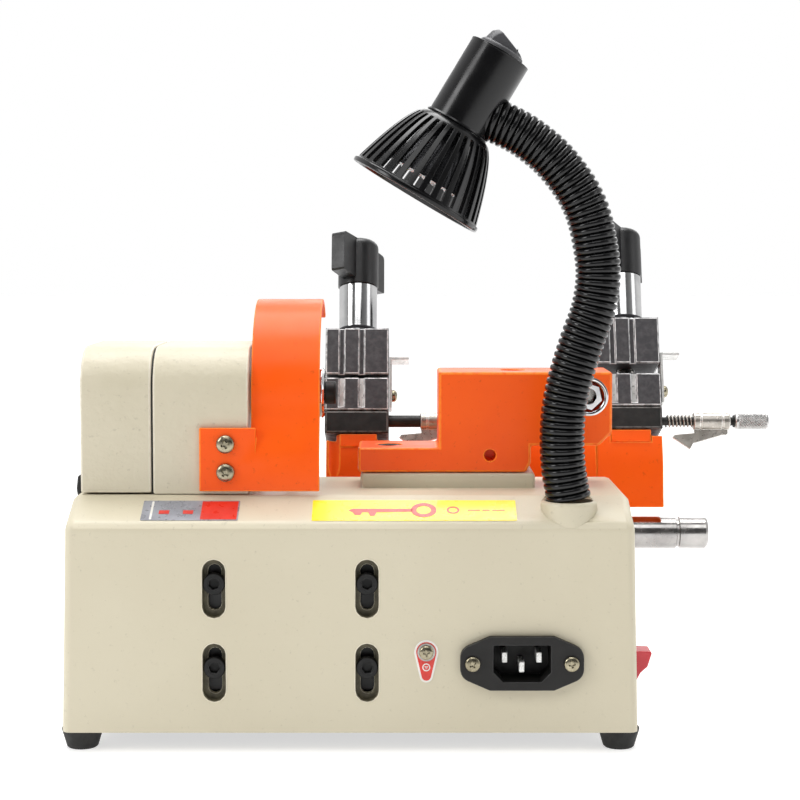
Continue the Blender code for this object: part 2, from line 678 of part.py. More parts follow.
def make_belt(finish, parent):
    """An open belt round both pulleys: two arcs and the straight runs that touch them."""
    motor = (motor_y(), motor_z())
    spindle = (SPINDLE_Y, SPINDLE_Z)
    reach = (spindle[0] - motor[0], spindle[1] - motor[1])
    distance = math.hypot(*reach)
    bearing = math.atan2(reach[1], reach[0])
    lean = math.acos((MOTOR_PULLEY_RADIUS - SPINDLE_PULLEY_RADIUS) / distance)

    def loop(offset):
        start, end = math.degrees(bearing - lean), math.degrees(bearing + lean)
        over = arc(spindle, SPINDLE_PULLEY_RADIUS + offset, start, end, 10)
        return over + arc(motor, MOTOR_PULLEY_RADIUS + offset, end, start + 360, 12)

    shape = bmesh.new()
    rings = []
    for offset in (GAP * 2, GAP * 2 + BELT_THICKNESS):
        for x in (PULLEY_X - BELT_WIDTH / 2, PULLEY_X + BELT_WIDTH / 2):
            rings.append([shape.verts.new((x, y, z)) for y, z in loop(offset)])
    for a, b in ((0, 1), (1, 3), (3, 2), (2, 0)):
        count = len(rings[a])
        for i in range(count):
            j = (i + 1) % count
            shape.faces.new((rings[a][i], rings[a][j], rings[b][j], rings[b][i]))
    piece("drive_belt", shape, finish["rubber"], parent)


# ================================================================ motor
def motor_y():
    return REAR_WALL + GAP + MOTOR_PAD + MOTOR_RADIUS - 0.0015


def motor_z():
    return (SLOT_Z[0] + SLOT_Z[1]) / 2


def belt_rear_at(z):
    """The Y of the belt's rear run at a height between its two pulleys."""
    share = (z - motor_z()) / (SPINDLE_Z - motor_z())
    low = motor_y() - MOTOR_PULLEY_RADIUS - BELT_THICKNESS
    high = SPINDLE_Y - SPINDLE_PULLEY_RADIUS - BELT_THICKNESS
    return low + (high - low) * share


def make_motor(finish, parent):
    at = (0, motor_y(), motor_z())
    rim = 0.003
    profile = [
        (MOTOR_RADIUS - rim, MOTOR_LEFT), (MOTOR_RADIUS, MOTOR_LEFT + rim), (MOTOR_RADIUS, MOTOR_RIGHT - rim),
        (MOTOR_RADIUS - rim, MOTOR_RIGHT),
    ]
    motor = piece("motor_body", turned(profile, at, "X"), finish["cast"], parent, at)
    margin = 0.009
    join(motor, block(
        (SLOT_X[0] - margin, REAR_WALL + GAP, SLOT_Z[1] - margin),
        (SLOT_X[1] + margin, REAR_WALL + GAP + MOTOR_PAD + 0.006, SLOT_Z[0] + margin),
    ))
    cuts = bmesh.new()
    for x in SLOT_X:
        for z in SLOT_Z:
            rod(circumscribed(MOTOR_SCREW_RADIUS + HOLE_CLEARANCE, SMALL_ROUND),
                (x, 0, z + MOTOR_SCREW_RAISE), "Y", REAR_WALL, REAR_WALL + 0.009, SMALL_ROUND, cuts)
    cut(motor, cuts)
    bore = circumscribed(MOTOR_SHAFT_RADIUS + RUNNING)
    cut(motor, rod(bore, at, "X", MOTOR_LEFT - PAST, MOTOR_LEFT + 0.03))

    edge = PULLEY_WIDTH / 2
    groove = pulley_profile(MOTOR_PULLEY_RADIUS, 0)[1:-1]
    rotor = [(MOTOR_SHAFT_RADIUS, PULLEY_X - edge - 0.002), (MOTOR_SHAFT_RADIUS, PULLEY_X - edge)]
    rotor += [(radius, PULLEY_X + along) for radius, along in groove]
    rotor += [(MOTOR_SHAFT_RADIUS, PULLEY_X + edge), (MOTOR_SHAFT_RADIUS, MOTOR_LEFT + 0.028)]
    piece("motor_rotor", turned(rotor, at, "X"), finish["tool"], parent, at)

    number = 0
    for z in SLOT_Z:
        for x in SLOT_X:
            number += 1
            seat = (x, SLOT_DEPTH - GAP, z + MOTOR_SCREW_RAISE)
            shape = screw(SOCKET_HEAD_RADIUS, SOCKET_HEAD_HEIGHT, MOTOR_SCREW_RADIUS, 0.010, seat)
            head = piece(f"motor_screw_{number}", shape, finish["blackened"], parent, seat)
            mouth = seat[1] - SOCKET_HEAD_HEIGHT
            recess = [(0.0021, mouth - PAST), (0.0021, mouth + 0.0022)]
            cut(head, turned(recess, (seat[0], 0, seat[2]), "Y", 6))


# ================================================================ cutter guard
def guard_outline():
    """Side outline of the bent sheet: up the rear, over the cutter and down a little at the front."""
    last = 90 - math.degrees(GUARD_FRONT_ANGLE)
    knee = (0.006, 0.022)     # how far below the arch the two bends lie
    outer = [(GUARD_REAR, GUARD_BOTTOM), (GUARD_REAR, SPINDLE_Z - knee[1])]
    outer += [(SPINDLE_Y - GUARD_RADIUS, SPINDLE_Z - knee[0])]
    outer += arc((SPINDLE_Y, SPINDLE_Z), GUARD_RADIUS, 180, last, 14)
    inner = arc((SPINDLE_Y, SPINDLE_Z), GUARD_RADIUS - GUARD_SHEET, last, 180, 14)
    inner += [(SPINDLE_Y - GUARD_RADIUS + GUARD_SHEET, SPINDLE_Z - knee[0])]
    inner += [(GUARD_REAR + GUARD_SHEET, SPINDLE_Z - knee[1]), (GUARD_REAR + GUARD_SHEET, GUARD_BOTTOM)]
    return outer + inner


def make_guard(finish, parent):
    arch = prism(guard_outline(), "X", GUARD_LEFT, GUARD_RIGHT)
    guard = piece("cutter_guard", arch, finish["orange"], parent)
    tab = prism(
        rectangle((TAB_LEFT, GUARD_BOTTOM), (GUARD_LEFT + GUARD_SHEET, TAB_TOP)), "Y", GUARD_REAR,
        GUARD_REAR + GUARD_SHEET,
    )
    side = prism(
        [(GUARD_REAR, GUARD_BOTTOM), (HEAD_REAR + 0.006, GUARD_BOTTOM),
         (HEAD_REAR + 0.006, SPINDLE_Z - 0.006),
         (SPINDLE_Y - GUARD_RADIUS, SPINDLE_Z - 0.006), (GUARD_REAR, SPINDLE_Z - 0.022)],
        "X", GUARD_LEFT, GUARD_LEFT + GUARD_SHEET / 2,
    )
    join(guard, tab)
    join(guard, side)
    holes = bmesh.new()
    for z in GUARD_SCREW_Z:
        rod(circumscribed(0.0018 + HOLE_CLEARANCE, SMALL_ROUND), (GUARD_SCREW_X, 0, z), "Y",
            GUARD_REAR - PAST, GUARD_REAR + GUARD_SHEET + PAST, SMALL_ROUND, holes)
    cut(guard, holes)
    for name, z in zip(("upper", "lower"), GUARD_SCREW_Z):
        seat = (GUARD_SCREW_X, GUARD_REAR - GAP, z)
        shape = screw(PAN_HEAD_RADIUS, PAN_HEAD_HEIGHT * 0.6, 0.0018, 0.009, seat, dome=PAN_HEAD_HEIGHT * 0.4)
        piece(f"guard_screw_{name}", shape, finish["chrome"], parent, seat)


# ================================================================ tracer block
def make_tracer_block(finish, parent):
    bottom = PLATEAU + BOSS_HEIGHT + GAP
    outline = [
        (FOOT_LEFT, bottom), (LOWER_RIGHT - 0.002, bottom), (LOWER_RIGHT, bottom + 0.004),
        (LOWER_RIGHT, OVERHANG_Z), (BLOCK_RIGHT - 0.0055, OVERHANG_Z), (BLOCK_RIGHT, OVERHANG_Z + 0.0055),
        (BLOCK_RIGHT, BLOCK_TOP), (BLOCK_LEFT, BLOCK_TOP), (BLOCK_LEFT, FOOT_TOP), (FOOT_LEFT, FOOT_TOP),
    ]
    shape = soften(prism(outline, "Y", BLOCK_REAR, BLOCK_FRONT), 0.0007, 1)
    body = piece("tracer_block", shape, finish["orange"], parent)
    middle = block_middle()
    cuts = bmesh.new()
    for x, top in zip(BLOCK_BOLT_X, (FOOT_TOP, BLOCK_TOP)):
        seat = FOOT_TOP - BLOCK_BOLT_HEAD_HEIGHT
        hole = circumscribed(BLOCK_BOLT_RADIUS + HOLE_CLEARANCE, SMALL_ROUND)
        profile = [(hole, bottom - PAST), (hole, seat)]
        profile += [(COUNTERBORE_RADIUS, seat), (COUNTERBORE_RADIUS, top + PAST)]
        turned(profile, (x, middle, 0), "Z", SMALL_ROUND, shape=cuts)
    stylus = circumscribed(TRACER_RADIUS + HOLE_CLEARANCE, 24)
    floor = BLOCK_REAR + TRACER_COUNTERBORE_DEPTH
    profile = [(TRACER_COUNTERBORE, BLOCK_REAR - PAST), (TRACER_COUNTERBORE, floor), (stylus, floor),
               (stylus, BLOCK_FRONT + PAST)]
    turned(profile, (TRACER_X, 0, SPINDLE_Z), "Y", 24, shape=cuts)
    rod(0.0025, (SET_SCREW_X, 0, SET_SCREW_Z), "Y", BLOCK_REAR - PAST, BLOCK_REAR + 0.007, SMALL_ROUND, cuts)
    cut(body, cuts)

    for name, x in zip(("left", "right"), BLOCK_BOLT_X):
        seat = FOOT_TOP - BLOCK_BOLT_HEAD_HEIGHT + GAP
        top = seat + BLOCK_BOLT_HEAD_HEIGHT - 2 * GAP
        profile = [(BLOCK_BOLT_RADIUS, PLATEAU), (BLOCK_BOLT_RADIUS, seat), (BLOCK_BOLT_HEAD, seat),
                   (BLOCK_BOLT_HEAD, top)]
        bolt = piece(f"block_bolt_{name}", turned(profile, (x, middle, 0), "Z", SMALL_ROUND),
                     finish["blackened"], parent, (x, middle, seat))
        cut(bolt, turned([(0.0027, top - 0.0028), (0.0027, top + PAST)], (x, middle, 0), "Z", 6))


def make_tracer(finish, parent):
    """The stylus that follows the pattern key, and the nut that moves it in and out."""
    at = (TRACER_X, 0, SPINDLE_Z)
    floor = BLOCK_REAR + TRACER_COUNTERBORE_DEPTH
    start = floor + 0.001
    profile = [(TRACER_RADIUS, start), (TRACER_RADIUS, TRACER_TIP_Y - 0.009), (0.0014, TRACER_TIP_Y - 0.001),
               (0.0008, TRACER_TIP_Y)]
    piece("tracer_stylus", turned(profile, at, "Y", 24), finish["tool"], parent, (TRACER_X, floor, SPINDLE_Z))
    low, high = BLOCK_REAR + 0.0012, floor - GAP
    nut = [(0.0032, low), (TRACER_NUT_RADIUS - 0.0007, low), (TRACER_NUT_RADIUS, low + 0.0007),
           (TRACER_NUT_RADIUS, high), (0.0032, high)]
    piece("tracer_nut", turned(nut, at, "Y", 24, hollow=True), finish["chrome"], parent,
          (TRACER_X, floor, SPINDLE_Z))


# ================================================================ lamp
def smooth_route(points, steps):
    """Points of a Catmull-Rom curve through the route."""
    padded = [points[0], *points, points[-1]]
    made = []
    for i in range(1, len(padded) - 2):
        p = [Vector(q) for q in padded[i - 1:i + 3]]
        for step in range(steps):
            t = step / steps
            made.append(0.5 * (2 * p[1] + (p[2] - p[0]) * t + (2 * p[0] - 5 * p[1] + 4 * p[2] - p[3]) * t * t
                               + (3 * p[1] - p[0] - 3 * p[2] + p[3]) * t ** 3))
    return made + [Vector(points[-1])]


def tube(points, radius, sides):
    """A round tube, closed at both ends, along points in the plane of X and Z. It starts straight up."""
    shape = bmesh.new()
    rings = []
    for i, point in enumerate(points):
        ahead = points[min(i + 1, len(points) - 1)] - points[max(i - 1, 0)] if i else Vector((0, 0, 1))
        ahead.normalize()
        across = Vector((0, 1, 0)).cross(ahead)
        ring = []
        for k in range(sides):
            angle = math.tau * k / sides
            ring.append(shape.verts.new(point + radius * (math.cos(angle) * Vector((0, 1, 0))
                                                          + math.sin(angle) * across)))
        rings.append(ring)
    for one, two in zip(rings, rings[1:]):
        for k in range(sides):
            m = (k + 1) % sides
            shape.faces.new((one[k], one[m], two[m], two[k]))
    shape.faces.new(rings[0])
    shape.faces.new(rings[-1])
    return shape


def shade_radius(share):
    """Outer radius of the bell, from 0 at its top to 1 at its rim."""
    return SHADE_TOP_RADIUS + (SHADE_RIM_RADIUS - SHADE_TOP_RADIUS) * share ** SHADE_BULGE


def make_shade(finish, parent, top):
    """A bell of upright ribs between a top ring and a rim ring, with open slots between the ribs."""
    rows = (0.0, 0.07, 0.26, 0.55, 0.88, 1.0)
    ring_rows = (0, len(rows) - 2)            # the rows that are closed all round
    count = 2 * SHADE_RIBS
    shape = bmesh.new()
    shells = []
    for inset in (0.0, SHADE_WALL):
        grid = []
        for share in rows:
            radius = shade_radius(share) - inset
            grid.append([
                shape.verts.new((radius * math.cos(math.tau * (k + 0.5) / count),
                                 radius * math.sin(math.tau * (k + 0.5) / count), top - SHADE_LENGTH * share))
                for k in range(count)
            ])
        shells.append(grid)
    outer, inner = shells

    def solid(row, k):
        return row in ring_rows or k % 2 == 0

    for row in range(len(rows) - 1):
        for k in range(count):
            m = (k + 1) % count
            if not solid(row, k):
                continue
            for grid in shells:
                shape.faces.new((grid[row][k], grid[row][m], grid[row + 1][m], grid[row + 1][k]))
            if not solid(row, m):
                shape.faces.new((outer[row][m], inner[row][m], inner[row + 1][m], outer[row + 1][m]))
            if not solid(row, k - 1):
                shape.faces.new((outer[row][k], inner[row][k], inner[row + 1][k], outer[row + 1][k]))
    for row in range(len(rows)):
        for k in range(count):
            m = (k + 1) % count
            above = row > 0 and solid(row - 1, k)
            below = row < len(rows) - 1 and solid(row, k)
            if above != below:
                shape.faces.new((outer[row][k], outer[row][m], inner[row][m], inner[row][k]))
    piece("lamp_shade", shape, finish["gloss_black"], parent)


def make_lamp(finish, parent):
    """The collar on the base, the stiff bent arm and the lamp on its end."""
    collar = turned(
        [(COLLAR_RADIUS, COLLAR_BOTTOM), (COLLAR_RADIUS, COLLAR_TOP - 0.0008),
         (COLLAR_RADIUS - 0.0008, COLLAR_TOP)],
        (LAMP_X, LAMP_Y, 0), "Z",
    )
    piece("lamp_collar", collar, finish["cream"], parent)
    foot = (LAMP_X, LAMP_Y, COLLAR_TOP)
    route = [Vector((x, LAMP_Y, z)) for x, z in NECK_ROUTE]
    arm = tube(smooth_route(route, NECK_STEPS), NECK_RADIUS, NECK_SIDES)
    piece("gooseneck", arm, finish["black_plastic"], parent, foot)

    head = frame_at("lamp_head", (HEAD_X, LAMP_Y, HEAD_Z), (0, HEAD_LEAN, 0), parent)
    body = piece("lamp_body", soften(rod(LAMP_BODY_RADIUS, (0, 0, 0), "Z", -LAMP_BODY_LENGTH, 0), 0.0006, 1),
                 finish["gloss_black"], head)
    cut(body, rod(SWITCH_RECESS_RADIUS, (0, 0, 0), "Z", -SWITCH_RECESS_DEPTH, PAST))

    rocker = [(-0.0094, -0.0005), (0, -0.0025), (0.0094, -0.0005), (0.0094, 0.0012), (0.003, 0.0042),
              (-0.0025, 0.0066), (-0.0051, 0.0073), (-0.007, 0.0060), (-0.0094, 0.0018)]
    rocker_width = SWITCH_RADIUS * 1.5
    switch = piece("lamp_switch", prism(rocker, "Y", -rocker_width / 2, rocker_width / 2),
                   finish["black_plastic"], head)
    combine(switch, rod(SWITCH_RADIUS, (0, 0, 0), "Z", -0.004, 0.009), "INTERSECT")

    top = -LAMP_BODY_LENGTH - GAP
    make_shade(finish, head, top)
    bulb = [(0.006, top), (0.0075, top - 0.004), (BULB_RADIUS - 0.002, top - 0.016),
            (BULB_RADIUS, top - 0.020), (BULB_RADIUS - 0.0012, top - 0.0215)]
    piece("lamp_bulb", turned(bulb, (0, 0, 0), "Z", 24), finish["glass"], head)


# ================================================================ mains inlet, earth screw, power switch
def make_inlet(finish, parent):
    half = (INLET_LENGTH / 2, INLET_HEIGHT / 2)
    blunt = 0.006
    flange = [
        (INLET_X + x, INLET_Z + z) for x, z in (
            (-INLET_STRAIGHT / 2, -half[1]), (INLET_STRAIGHT / 2, -half[1]),
            (half[0], -blunt), (half[0], blunt),
            (INLET_STRAIGHT / 2, half[1]), (-INLET_STRAIGHT / 2, half[1]),
            (-half[0], blunt), (-half[0], -blunt),
        )
    ]
    face = -GAP - INLET_FLANGE
    plate = soften(prism(flange, "Y", face, -GAP), 0.0006, 1)
    inlet = piece("power_inlet", plate, finish["black_plastic"], parent)
    join(inlet, block((INLET_X - SHELL_WIDTH / 2, -GAP - INLET_FLANGE / 2, INLET_Z - SHELL_HEIGHT / 2),
                      (INLET_X + SHELL_WIDTH / 2, SHELL_DEPTH, INLET_Z + SHELL_HEIGHT / 2)))
    width, height, corner = SOCKET_WIDTH / 2, SOCKET_HEIGHT / 2, SOCKET_CORNER
    mouth = [
        (INLET_X + x, INLET_Z + z) for x, z in (
            (-width + corner, -height), (width - corner, -height), (width, -height + corner), (width, height),
            (-width, height), (-width, -height + corner),
        )
    ]
    cut(inlet, prism(mouth, "Y", face - PAST, face + SOCKET_DEPTH))
    pins = bmesh.new()
    for x, z in ((-PIN_SPACING, 0.002), (PIN_SPACING, 0.002), (0, -0.002)):
        block((INLET_X + x - 0.001, face + 0.003, INLET_Z + z - 0.002),
              (INLET_X + x + 0.001, face + SOCKET_DEPTH + 0.002, INLET_Z + z + 0.002), pins)
    join(inlet, pins)
    holes = bmesh.new()
    for sign in (-1, 1):
        rod(circumscribed(0.0015 + HOLE_CLEARANCE, SMALL_ROUND),
            (INLET_X + sign * INLET_SCREW_SPACING / 2, 0, INLET_Z),
            "Y", face - PAST, PAST, SMALL_ROUND, holes)
    cut(inlet, holes)
    for side, sign in (("left", -1), ("right", 1)):
        seat = (INLET_X + sign * INLET_SCREW_SPACING / 2, face - GAP, INLET_Z)
        shape = screw(0.0031, 0.0009, 0.0015, 0.011, seat, dome=0.0007)
        piece(f"inlet_screw_{side}", shape, finish["chrome"], parent, seat)


def make_power_switch(finish, parent):
    """A rocker in a bezel on the right wall. It turns about Y."""
    face = BASE_WIDTH / 2 + GAP
    width, height = ROCKER_WIDTH / 2 + BEZEL_MARGIN, ROCKER_HALF + BEZEL_MARGIN
    low = (face, SWITCH_Y - width, SWITCH_Z - height)
    high = (face + BEZEL_THICKNESS, SWITCH_Y + width, SWITCH_Z + height)
    bezel = piece("power_switch_bezel", soften(block(low, high), 0.0005, 1), finish["black_plastic"], parent)
    box = (ROCKER_WIDTH / 2 + BEZEL_MARGIN / 2, ROCKER_HALF + BEZEL_MARGIN / 2)
    join(bezel, block((face - SWITCH_BODY_DEPTH, SWITCH_Y - box[0], SWITCH_Z - box[1]),
                      (face + BEZEL_THICKNESS / 2, SWITCH_Y + box[0], SWITCH_Z + box[1])))
    room = (ROCKER_WIDTH / 2 + 2 * GAP, ROCKER_HALF + 3 * GAP)
    cut(bezel, block((face - SWITCH_BODY_DEPTH + 0.002, SWITCH_Y - room[0], SWITCH_Z - room[1]),
                     (face + BEZEL_THICKNESS + PAST, SWITCH_Y + room[0], SWITCH_Z + room[1])))

    pivot = (face, SWITCH_Y, SWITCH_Z)
    hinge = frame_at("power_switch_pivot", pivot, (0, ROCKER_TILT, 0), parent)
    outline = [(-0.004, -0.0085), (0.0066, -ROCKER_HALF), (0.0048, -0.0045), (0.0044, 0), (0.0048, 0.0045),
               (0.0066, ROCKER_HALF), (-0.004, 0.0085)]
    rocker = prism(outline, "Y", -ROCKER_WIDTH / 2, ROCKER_WIDTH / 2)
    piece("power_switch_rocker", rocker, finish["red"], hinge)


# ================================================================ carriage
def make_shaft(finish, parent):
    at = (0, PIVOT_Y, PIVOT_Z)
    chamfer, groove, edge = 0.0012, 0.0008, 0.0006
    profile = [
        (SHAFT_RADIUS - chamfer, SHAFT_LEFT), (SHAFT_RADIUS, SHAFT_LEFT + chamfer),
        (SHAFT_RADIUS, SHAFT_GROOVE_X - edge), (SHAFT_RADIUS - groove, SHAFT_GROOVE_X - edge / 2),
        (SHAFT_RADIUS - groove, SHAFT_GROOVE_X + edge / 2), (SHAFT_RADIUS, SHAFT_GROOVE_X + edge),
        (SHAFT_RADIUS, SHAFT_RIGHT - chamfer), (SHAFT_RADIUS - chamfer, SHAFT_RIGHT),
    ]
    piece("carriage_shaft", turned(profile, at, "X"), finish["chrome"], parent, at)


def bar_outline(top, rear=BAR_REAR, front=BAR_FRONT):
    """Side outline of the carriage's bar, about the shaft."""
    return [(-0.010, 0.0098), (0.015, 0.0165), (front, 0.024), (front, top), (rear, top), (rear, 0.0288),
            (-0.0105, 0.0144)]


def make_carriage(finish, parent):
    bar = prism(bar_outline(BAR_TOP), "X", BAR_LEFT, BAR_RIGHT)
    carriage = piece("carriage", bar, finish["orange"], parent)
    flush = 0.0002
    shoulders = ((BAR_LEFT - flush, 0.016), (0.112, BAR_RIGHT + flush))
    for (_, middle, seat, _), (low, high) in zip(VISES, shoulders):
        shoulder = bar_outline(seat - 0.003, BAR_REAR - flush, BAR_FRONT + flush)
        join(carriage, prism(shoulder, "X", low, high))
        join(carriage, block((middle - 0.0095, BAR_REAR - 2 * flush, seat - 0.006),
                             (middle + 0.0095, BAR_FRONT - flush, seat)))
    rib = bar_outline(RIB_TOP, BAR_REAR - flush / 2, BAR_FRONT + flush / 2)
    join(carriage, prism(rib, "X", RIB_LEFT, shoulders[1][0] + PAST))
    join(carriage, rod(BARREL_RADIUS, (0, 0, 0), "X", BARREL_LEFT + flush, BARREL_RIGHT))
    bore = circumscribed(SHAFT_RADIUS + RUNNING)
    cut(carriage, rod(bore, (0, 0, 0), "X", BARREL_LEFT - PAST, BARREL_RIGHT + PAST))
    groove_x = BAR_LEFT + 0.0035
    cut(carriage, rod(0.0028, (groove_x, BAR_REAR - 0.0012, 0), "Z", 0.020, 0.060, SMALL_ROUND))

    hinge = frame_at("handle_frame", (HANDLE_X, BAR_FRONT + GAP, HANDLE_HEIGHT), (HANDLE_RISE, 0, 0), parent)
    collar = 0.0075
    centre = HANDLE_LENGTH + HANDLE_BALL
    lean = math.tan(HANDLE_RISE) * collar + GAP     # keeps the tilted collar off the carriage
    profile = [(collar, lean), (collar, lean + 0.004), (HANDLE_RADIUS, lean + 0.006)]
    start = math.degrees(math.acos(HANDLE_RADIUS / HANDLE_BALL))
    for across, along in arc((0, 0), HANDLE_BALL, -start, 90, 9)[:-1]:
        profile.append((across, centre + along))
    profile.append((0, centre + HANDLE_BALL))
    piece("carriage_handle", turned(profile, (0, 0, 0), "Y", 24), finish["black_plastic"], hinge)


def make_vise(side, middle, seat, opening, finish, parent):
    """One vise, from its black block up to its wing knob."""
    left, right = middle - VISE_WIDTH / 2, middle + VISE_WIDTH / 2
    bottom = seat + GAP
    block_top = bottom + VISE_BLOCK
    low_jaw = (block_top + GAP, block_top + GAP + LOWER_JAW)
    high_jaw = (low_jaw[1] + opening, low_jaw[1] + opening + UPPER_JAW)

    base = piece(f"vise_block_{side}",
                 soften(block((left, VISE_REAR, bottom), (right, VISE_FRONT, block_top)), 0.0005, 1),
                 finish["blackened"], parent)
    gauge = circumscribed(gauge_radius_at(middle) + GAP / 2, SMALL_ROUND)
    cut(base, rod(gauge, (0, GAUGE_V, GAUGE_W), "X", left - PAST, right + PAST, SMALL_ROUND))
    stud_hole = circumscribed(STUD_RADIUS + HOLE_CLEARANCE, SMALL_ROUND)
    cut(base, rod(stud_hole, (middle, 0, 0), "Z", bottom + 0.004, block_top + PAST, SMALL_ROUND))

    for name, (low, high) in (("lower", low_jaw), ("upper", high_jaw)):
        shape = soften(block((left, VISE_REAR, low), (right, VISE_FRONT, high)), 0.0004, 1)
        jaw = piece(f"{name}_jaw_{side}", shape, finish["steel"], parent, (middle, 0, low))
        cut(jaw, rod(stud_hole, (middle, 0, 0), "Z", low - PAST, high + PAST, SMALL_ROUND))
        start = low + 0.0016 if name == "lower" else low - PAST
        slots = bmesh.new()
        for offset in GROOVE_OFFSETS:
            x = middle + offset
            block((x - GROOVE_WIDTH / 2, VISE_REAR - PAST, start),
                  (x + GROOVE_WIDTH / 2, VISE_REAR + GROOVE_DEPTH, high + PAST), slots)
        cut(jaw, slots)

    jaw_top = high_jaw[1]
    stud_top = jaw_top + SLEEVE_TOP + 0.006
    stud = [(STUD_RADIUS, bottom + 0.004 + GAP), (STUD_RADIUS, stud_top - 0.001)]
    stud += [(STUD_RADIUS - 0.001, stud_top)]
    piece(f"clamp_stud_{side}", turned(stud, (middle, 0, 0), "Z", SMALL_ROUND), finish["tool"], parent,
          (middle, 0, bottom))
    make_wing_knob(side, middle, jaw_top + GAP, stud_hole, stud_top, finish, parent)
    make_stop_plate(side, right, low_jaw, finish, parent)


def make_wing_knob(side, middle, foot, bore, stud_top, finish, parent):
    """A chrome sleeve that presses on the jaw, in a moulded hub with two wings."""
    hinge = frame_at(f"wing_knob_frame_{side}", (middle, 0, foot), (0, 0, WING_TURN), parent)
    sleeve_end = SLEEVE_TOP - GAP
    hub_top = sleeve_end + HUB_HEIGHT
    room = stud_top - foot + KNOB_TRAVEL
    profile = [
        (SLEEVE_RADIUS - 0.002, 0), (SLEEVE_RADIUS - 0.002, SLEEVE_NECK), (SLEEVE_RADIUS, SLEEVE_NECK),
        (SLEEVE_RADIUS, sleeve_end), (HUB_RADIUS, sleeve_end), (HUB_RADIUS, hub_top - 0.003),
        (HUB_RADIUS - 0.001, hub_top - 0.001), (HUB_RADIUS - 0.003, hub_top), (0, hub_top),
    ]
    knob = piece(f"wing_knob_{side}", turned(profile, (0, 0, 0), "Z", 24), finish["black_plastic"], hinge)
    wing_bottom = hub_top - 0.001 - WING_HEIGHT
    half = WING_SPAN / 2
    slope = 0.004
    outline = [(-half, wing_bottom + slope), (-HUB_RADIUS, wing_bottom), (HUB_RADIUS, wing_bottom),
               (half, wing_bottom + slope), (half, hub_top - 0.002), (half - 0.002, hub_top - 0.001),
               (-half + 0.002, hub_top - 0.001), (-half, hub_top - 0.002)]
    join(knob, soften(prism(outline, "Y", -WING_THICKNESS / 2, WING_THICKNESS / 2), 0.0010, 2))
    cut(knob, rod(bore, (0, 0, 0), "Z", -PAST, room, SMALL_ROUND))


def make_stop_plate(side, face, low_jaw, finish, parent):
    """A thin bent plate on the vise's right side, with a tab that the key's end meets."""
    near, far = face + GAP, face + GAP + STOP_SHEET
    top = low_jaw[1] + 0.0105
    plate = piece(f"stop_plate_{side}", block((near, -0.0135, low_jaw[0] + 0.002), (far, -0.0035, top)),
                  finish["tool"], parent)
    join(plate, block((near + STOP_SHEET / 4, -0.0130, top - STOP_SHEET),
                      (far + STOP_TAB, -0.0040, top + 0.0002)))


def gauge_radius_at(x):
    return GAUGE_LEFT_RADIUS if x < GAUGE_STEP else GAUGE_RADIUS


def make_gauge(finish, parent):
    """The rod through both vise blocks, its spring, the two fingers and the knurled knob."""
    at = (0, GAUGE_V, GAUGE_W)
    last = VISES[-1][1]
    sleeve_start = last + GAUGE_SLEEVE_START
    sleeve_end = sleeve_start + GAUGE_SLEEVE_LENGTH
    edge = 0.0008
    profile = [
        (GAUGE_LEFT_RADIUS - edge, GAUGE_LEFT), (GAUGE_LEFT_RADIUS, GAUGE_LEFT + edge),
        (GAUGE_LEFT_RADIUS, GAUGE_STEP), (GAUGE_RADIUS, GAUGE_STEP), (GAUGE_RADIUS, sleeve_end + 2 * edge),
        (GAUGE_KNOB_RADIUS - edge, sleeve_end + 2 * edge), (GAUGE_KNOB_RADIUS, sleeve_end + 3 * edge),
        (GAUGE_KNOB_RADIUS, sleeve_end + GAUGE_KNOB_LENGTH - edge),
        (GAUGE_KNOB_RADIUS - edge, sleeve_end + GAUGE_KNOB_LENGTH),
    ]
    piece("gauge_rod", turned(profile, at, "X", SMALL_ROUND), finish["chrome"], parent, at)
    clear = circumscribed(GAUGE_RADIUS + GAP, SMALL_ROUND)
    spring_low = last + VISE_WIDTH / 2 + STOP_SHEET + 2 * GAP
    spring = [(clear, spring_low), (GAUGE_SPRING_RADIUS, spring_low),
              (GAUGE_SPRING_RADIUS, sleeve_start - GAP), (clear, sleeve_start - GAP)]
    piece("gauge_spring", turned(spring, at, "X", SMALL_ROUND, hollow=True), finish["tool"], parent, at)

    for side, middle, _, _ in VISES:
        start = middle + GAUGE_SLEEVE_START
        clear = circumscribed(gauge_radius_at(middle) + GAP, SMALL_ROUND)
        end = start + GAUGE_SLEEVE_LENGTH
        sleeve = [(clear, start), (GAUGE_SLEEVE_RADIUS, start), (GAUGE_SLEEVE_RADIUS, end), (clear, end)]
        finger = piece(f"gauge_finger_{side}", turned(sleeve, at, "X", SMALL_ROUND, hollow=True),
                       finish["chrome"], parent, at)
        flag = [(0.0004, -0.0034), (0.0162, -0.0034), (0.0162, -0.0061), (-0.0003, -0.0108),
                (-0.0018, -0.0137), (-0.0100, -0.0080), (-0.0090, -0.0066), (0.0004, -0.0058)]
        outline = [(start + x, GAUGE_W + z) for x, z in flag]
        join(finger, prism(outline, "Y", GAUGE_V - FINGER_SHEET / 2, GAUGE_V + FINGER_SHEET / 2))


# ================================================================ the machine
def stand_on_origin(machine):
    """Move the machine so that the origin is at the bottom centre of its bounding box."""
    bpy.context.view_layer.update()
    graph = bpy.context.evaluated_depsgraph_get()
    corners = []
    for thing in bpy.data.objects:
        if thing.type == "MESH" and not thing.hide_render:
            shown = thing.evaluated_get(graph)
            corners += [shown.matrix_world @ v.co for v in shown.data.vertices]
    low = [min(c[i] for c in corners) for i in range(3)]
    high = [max(c[i] for c in corners) for i in range(3)]
    machine.location = (-(low[0] + high[0]) / 2, -(low[1] + high[1]) / 2, -low[2])
    bpy.context.view_layer.update()


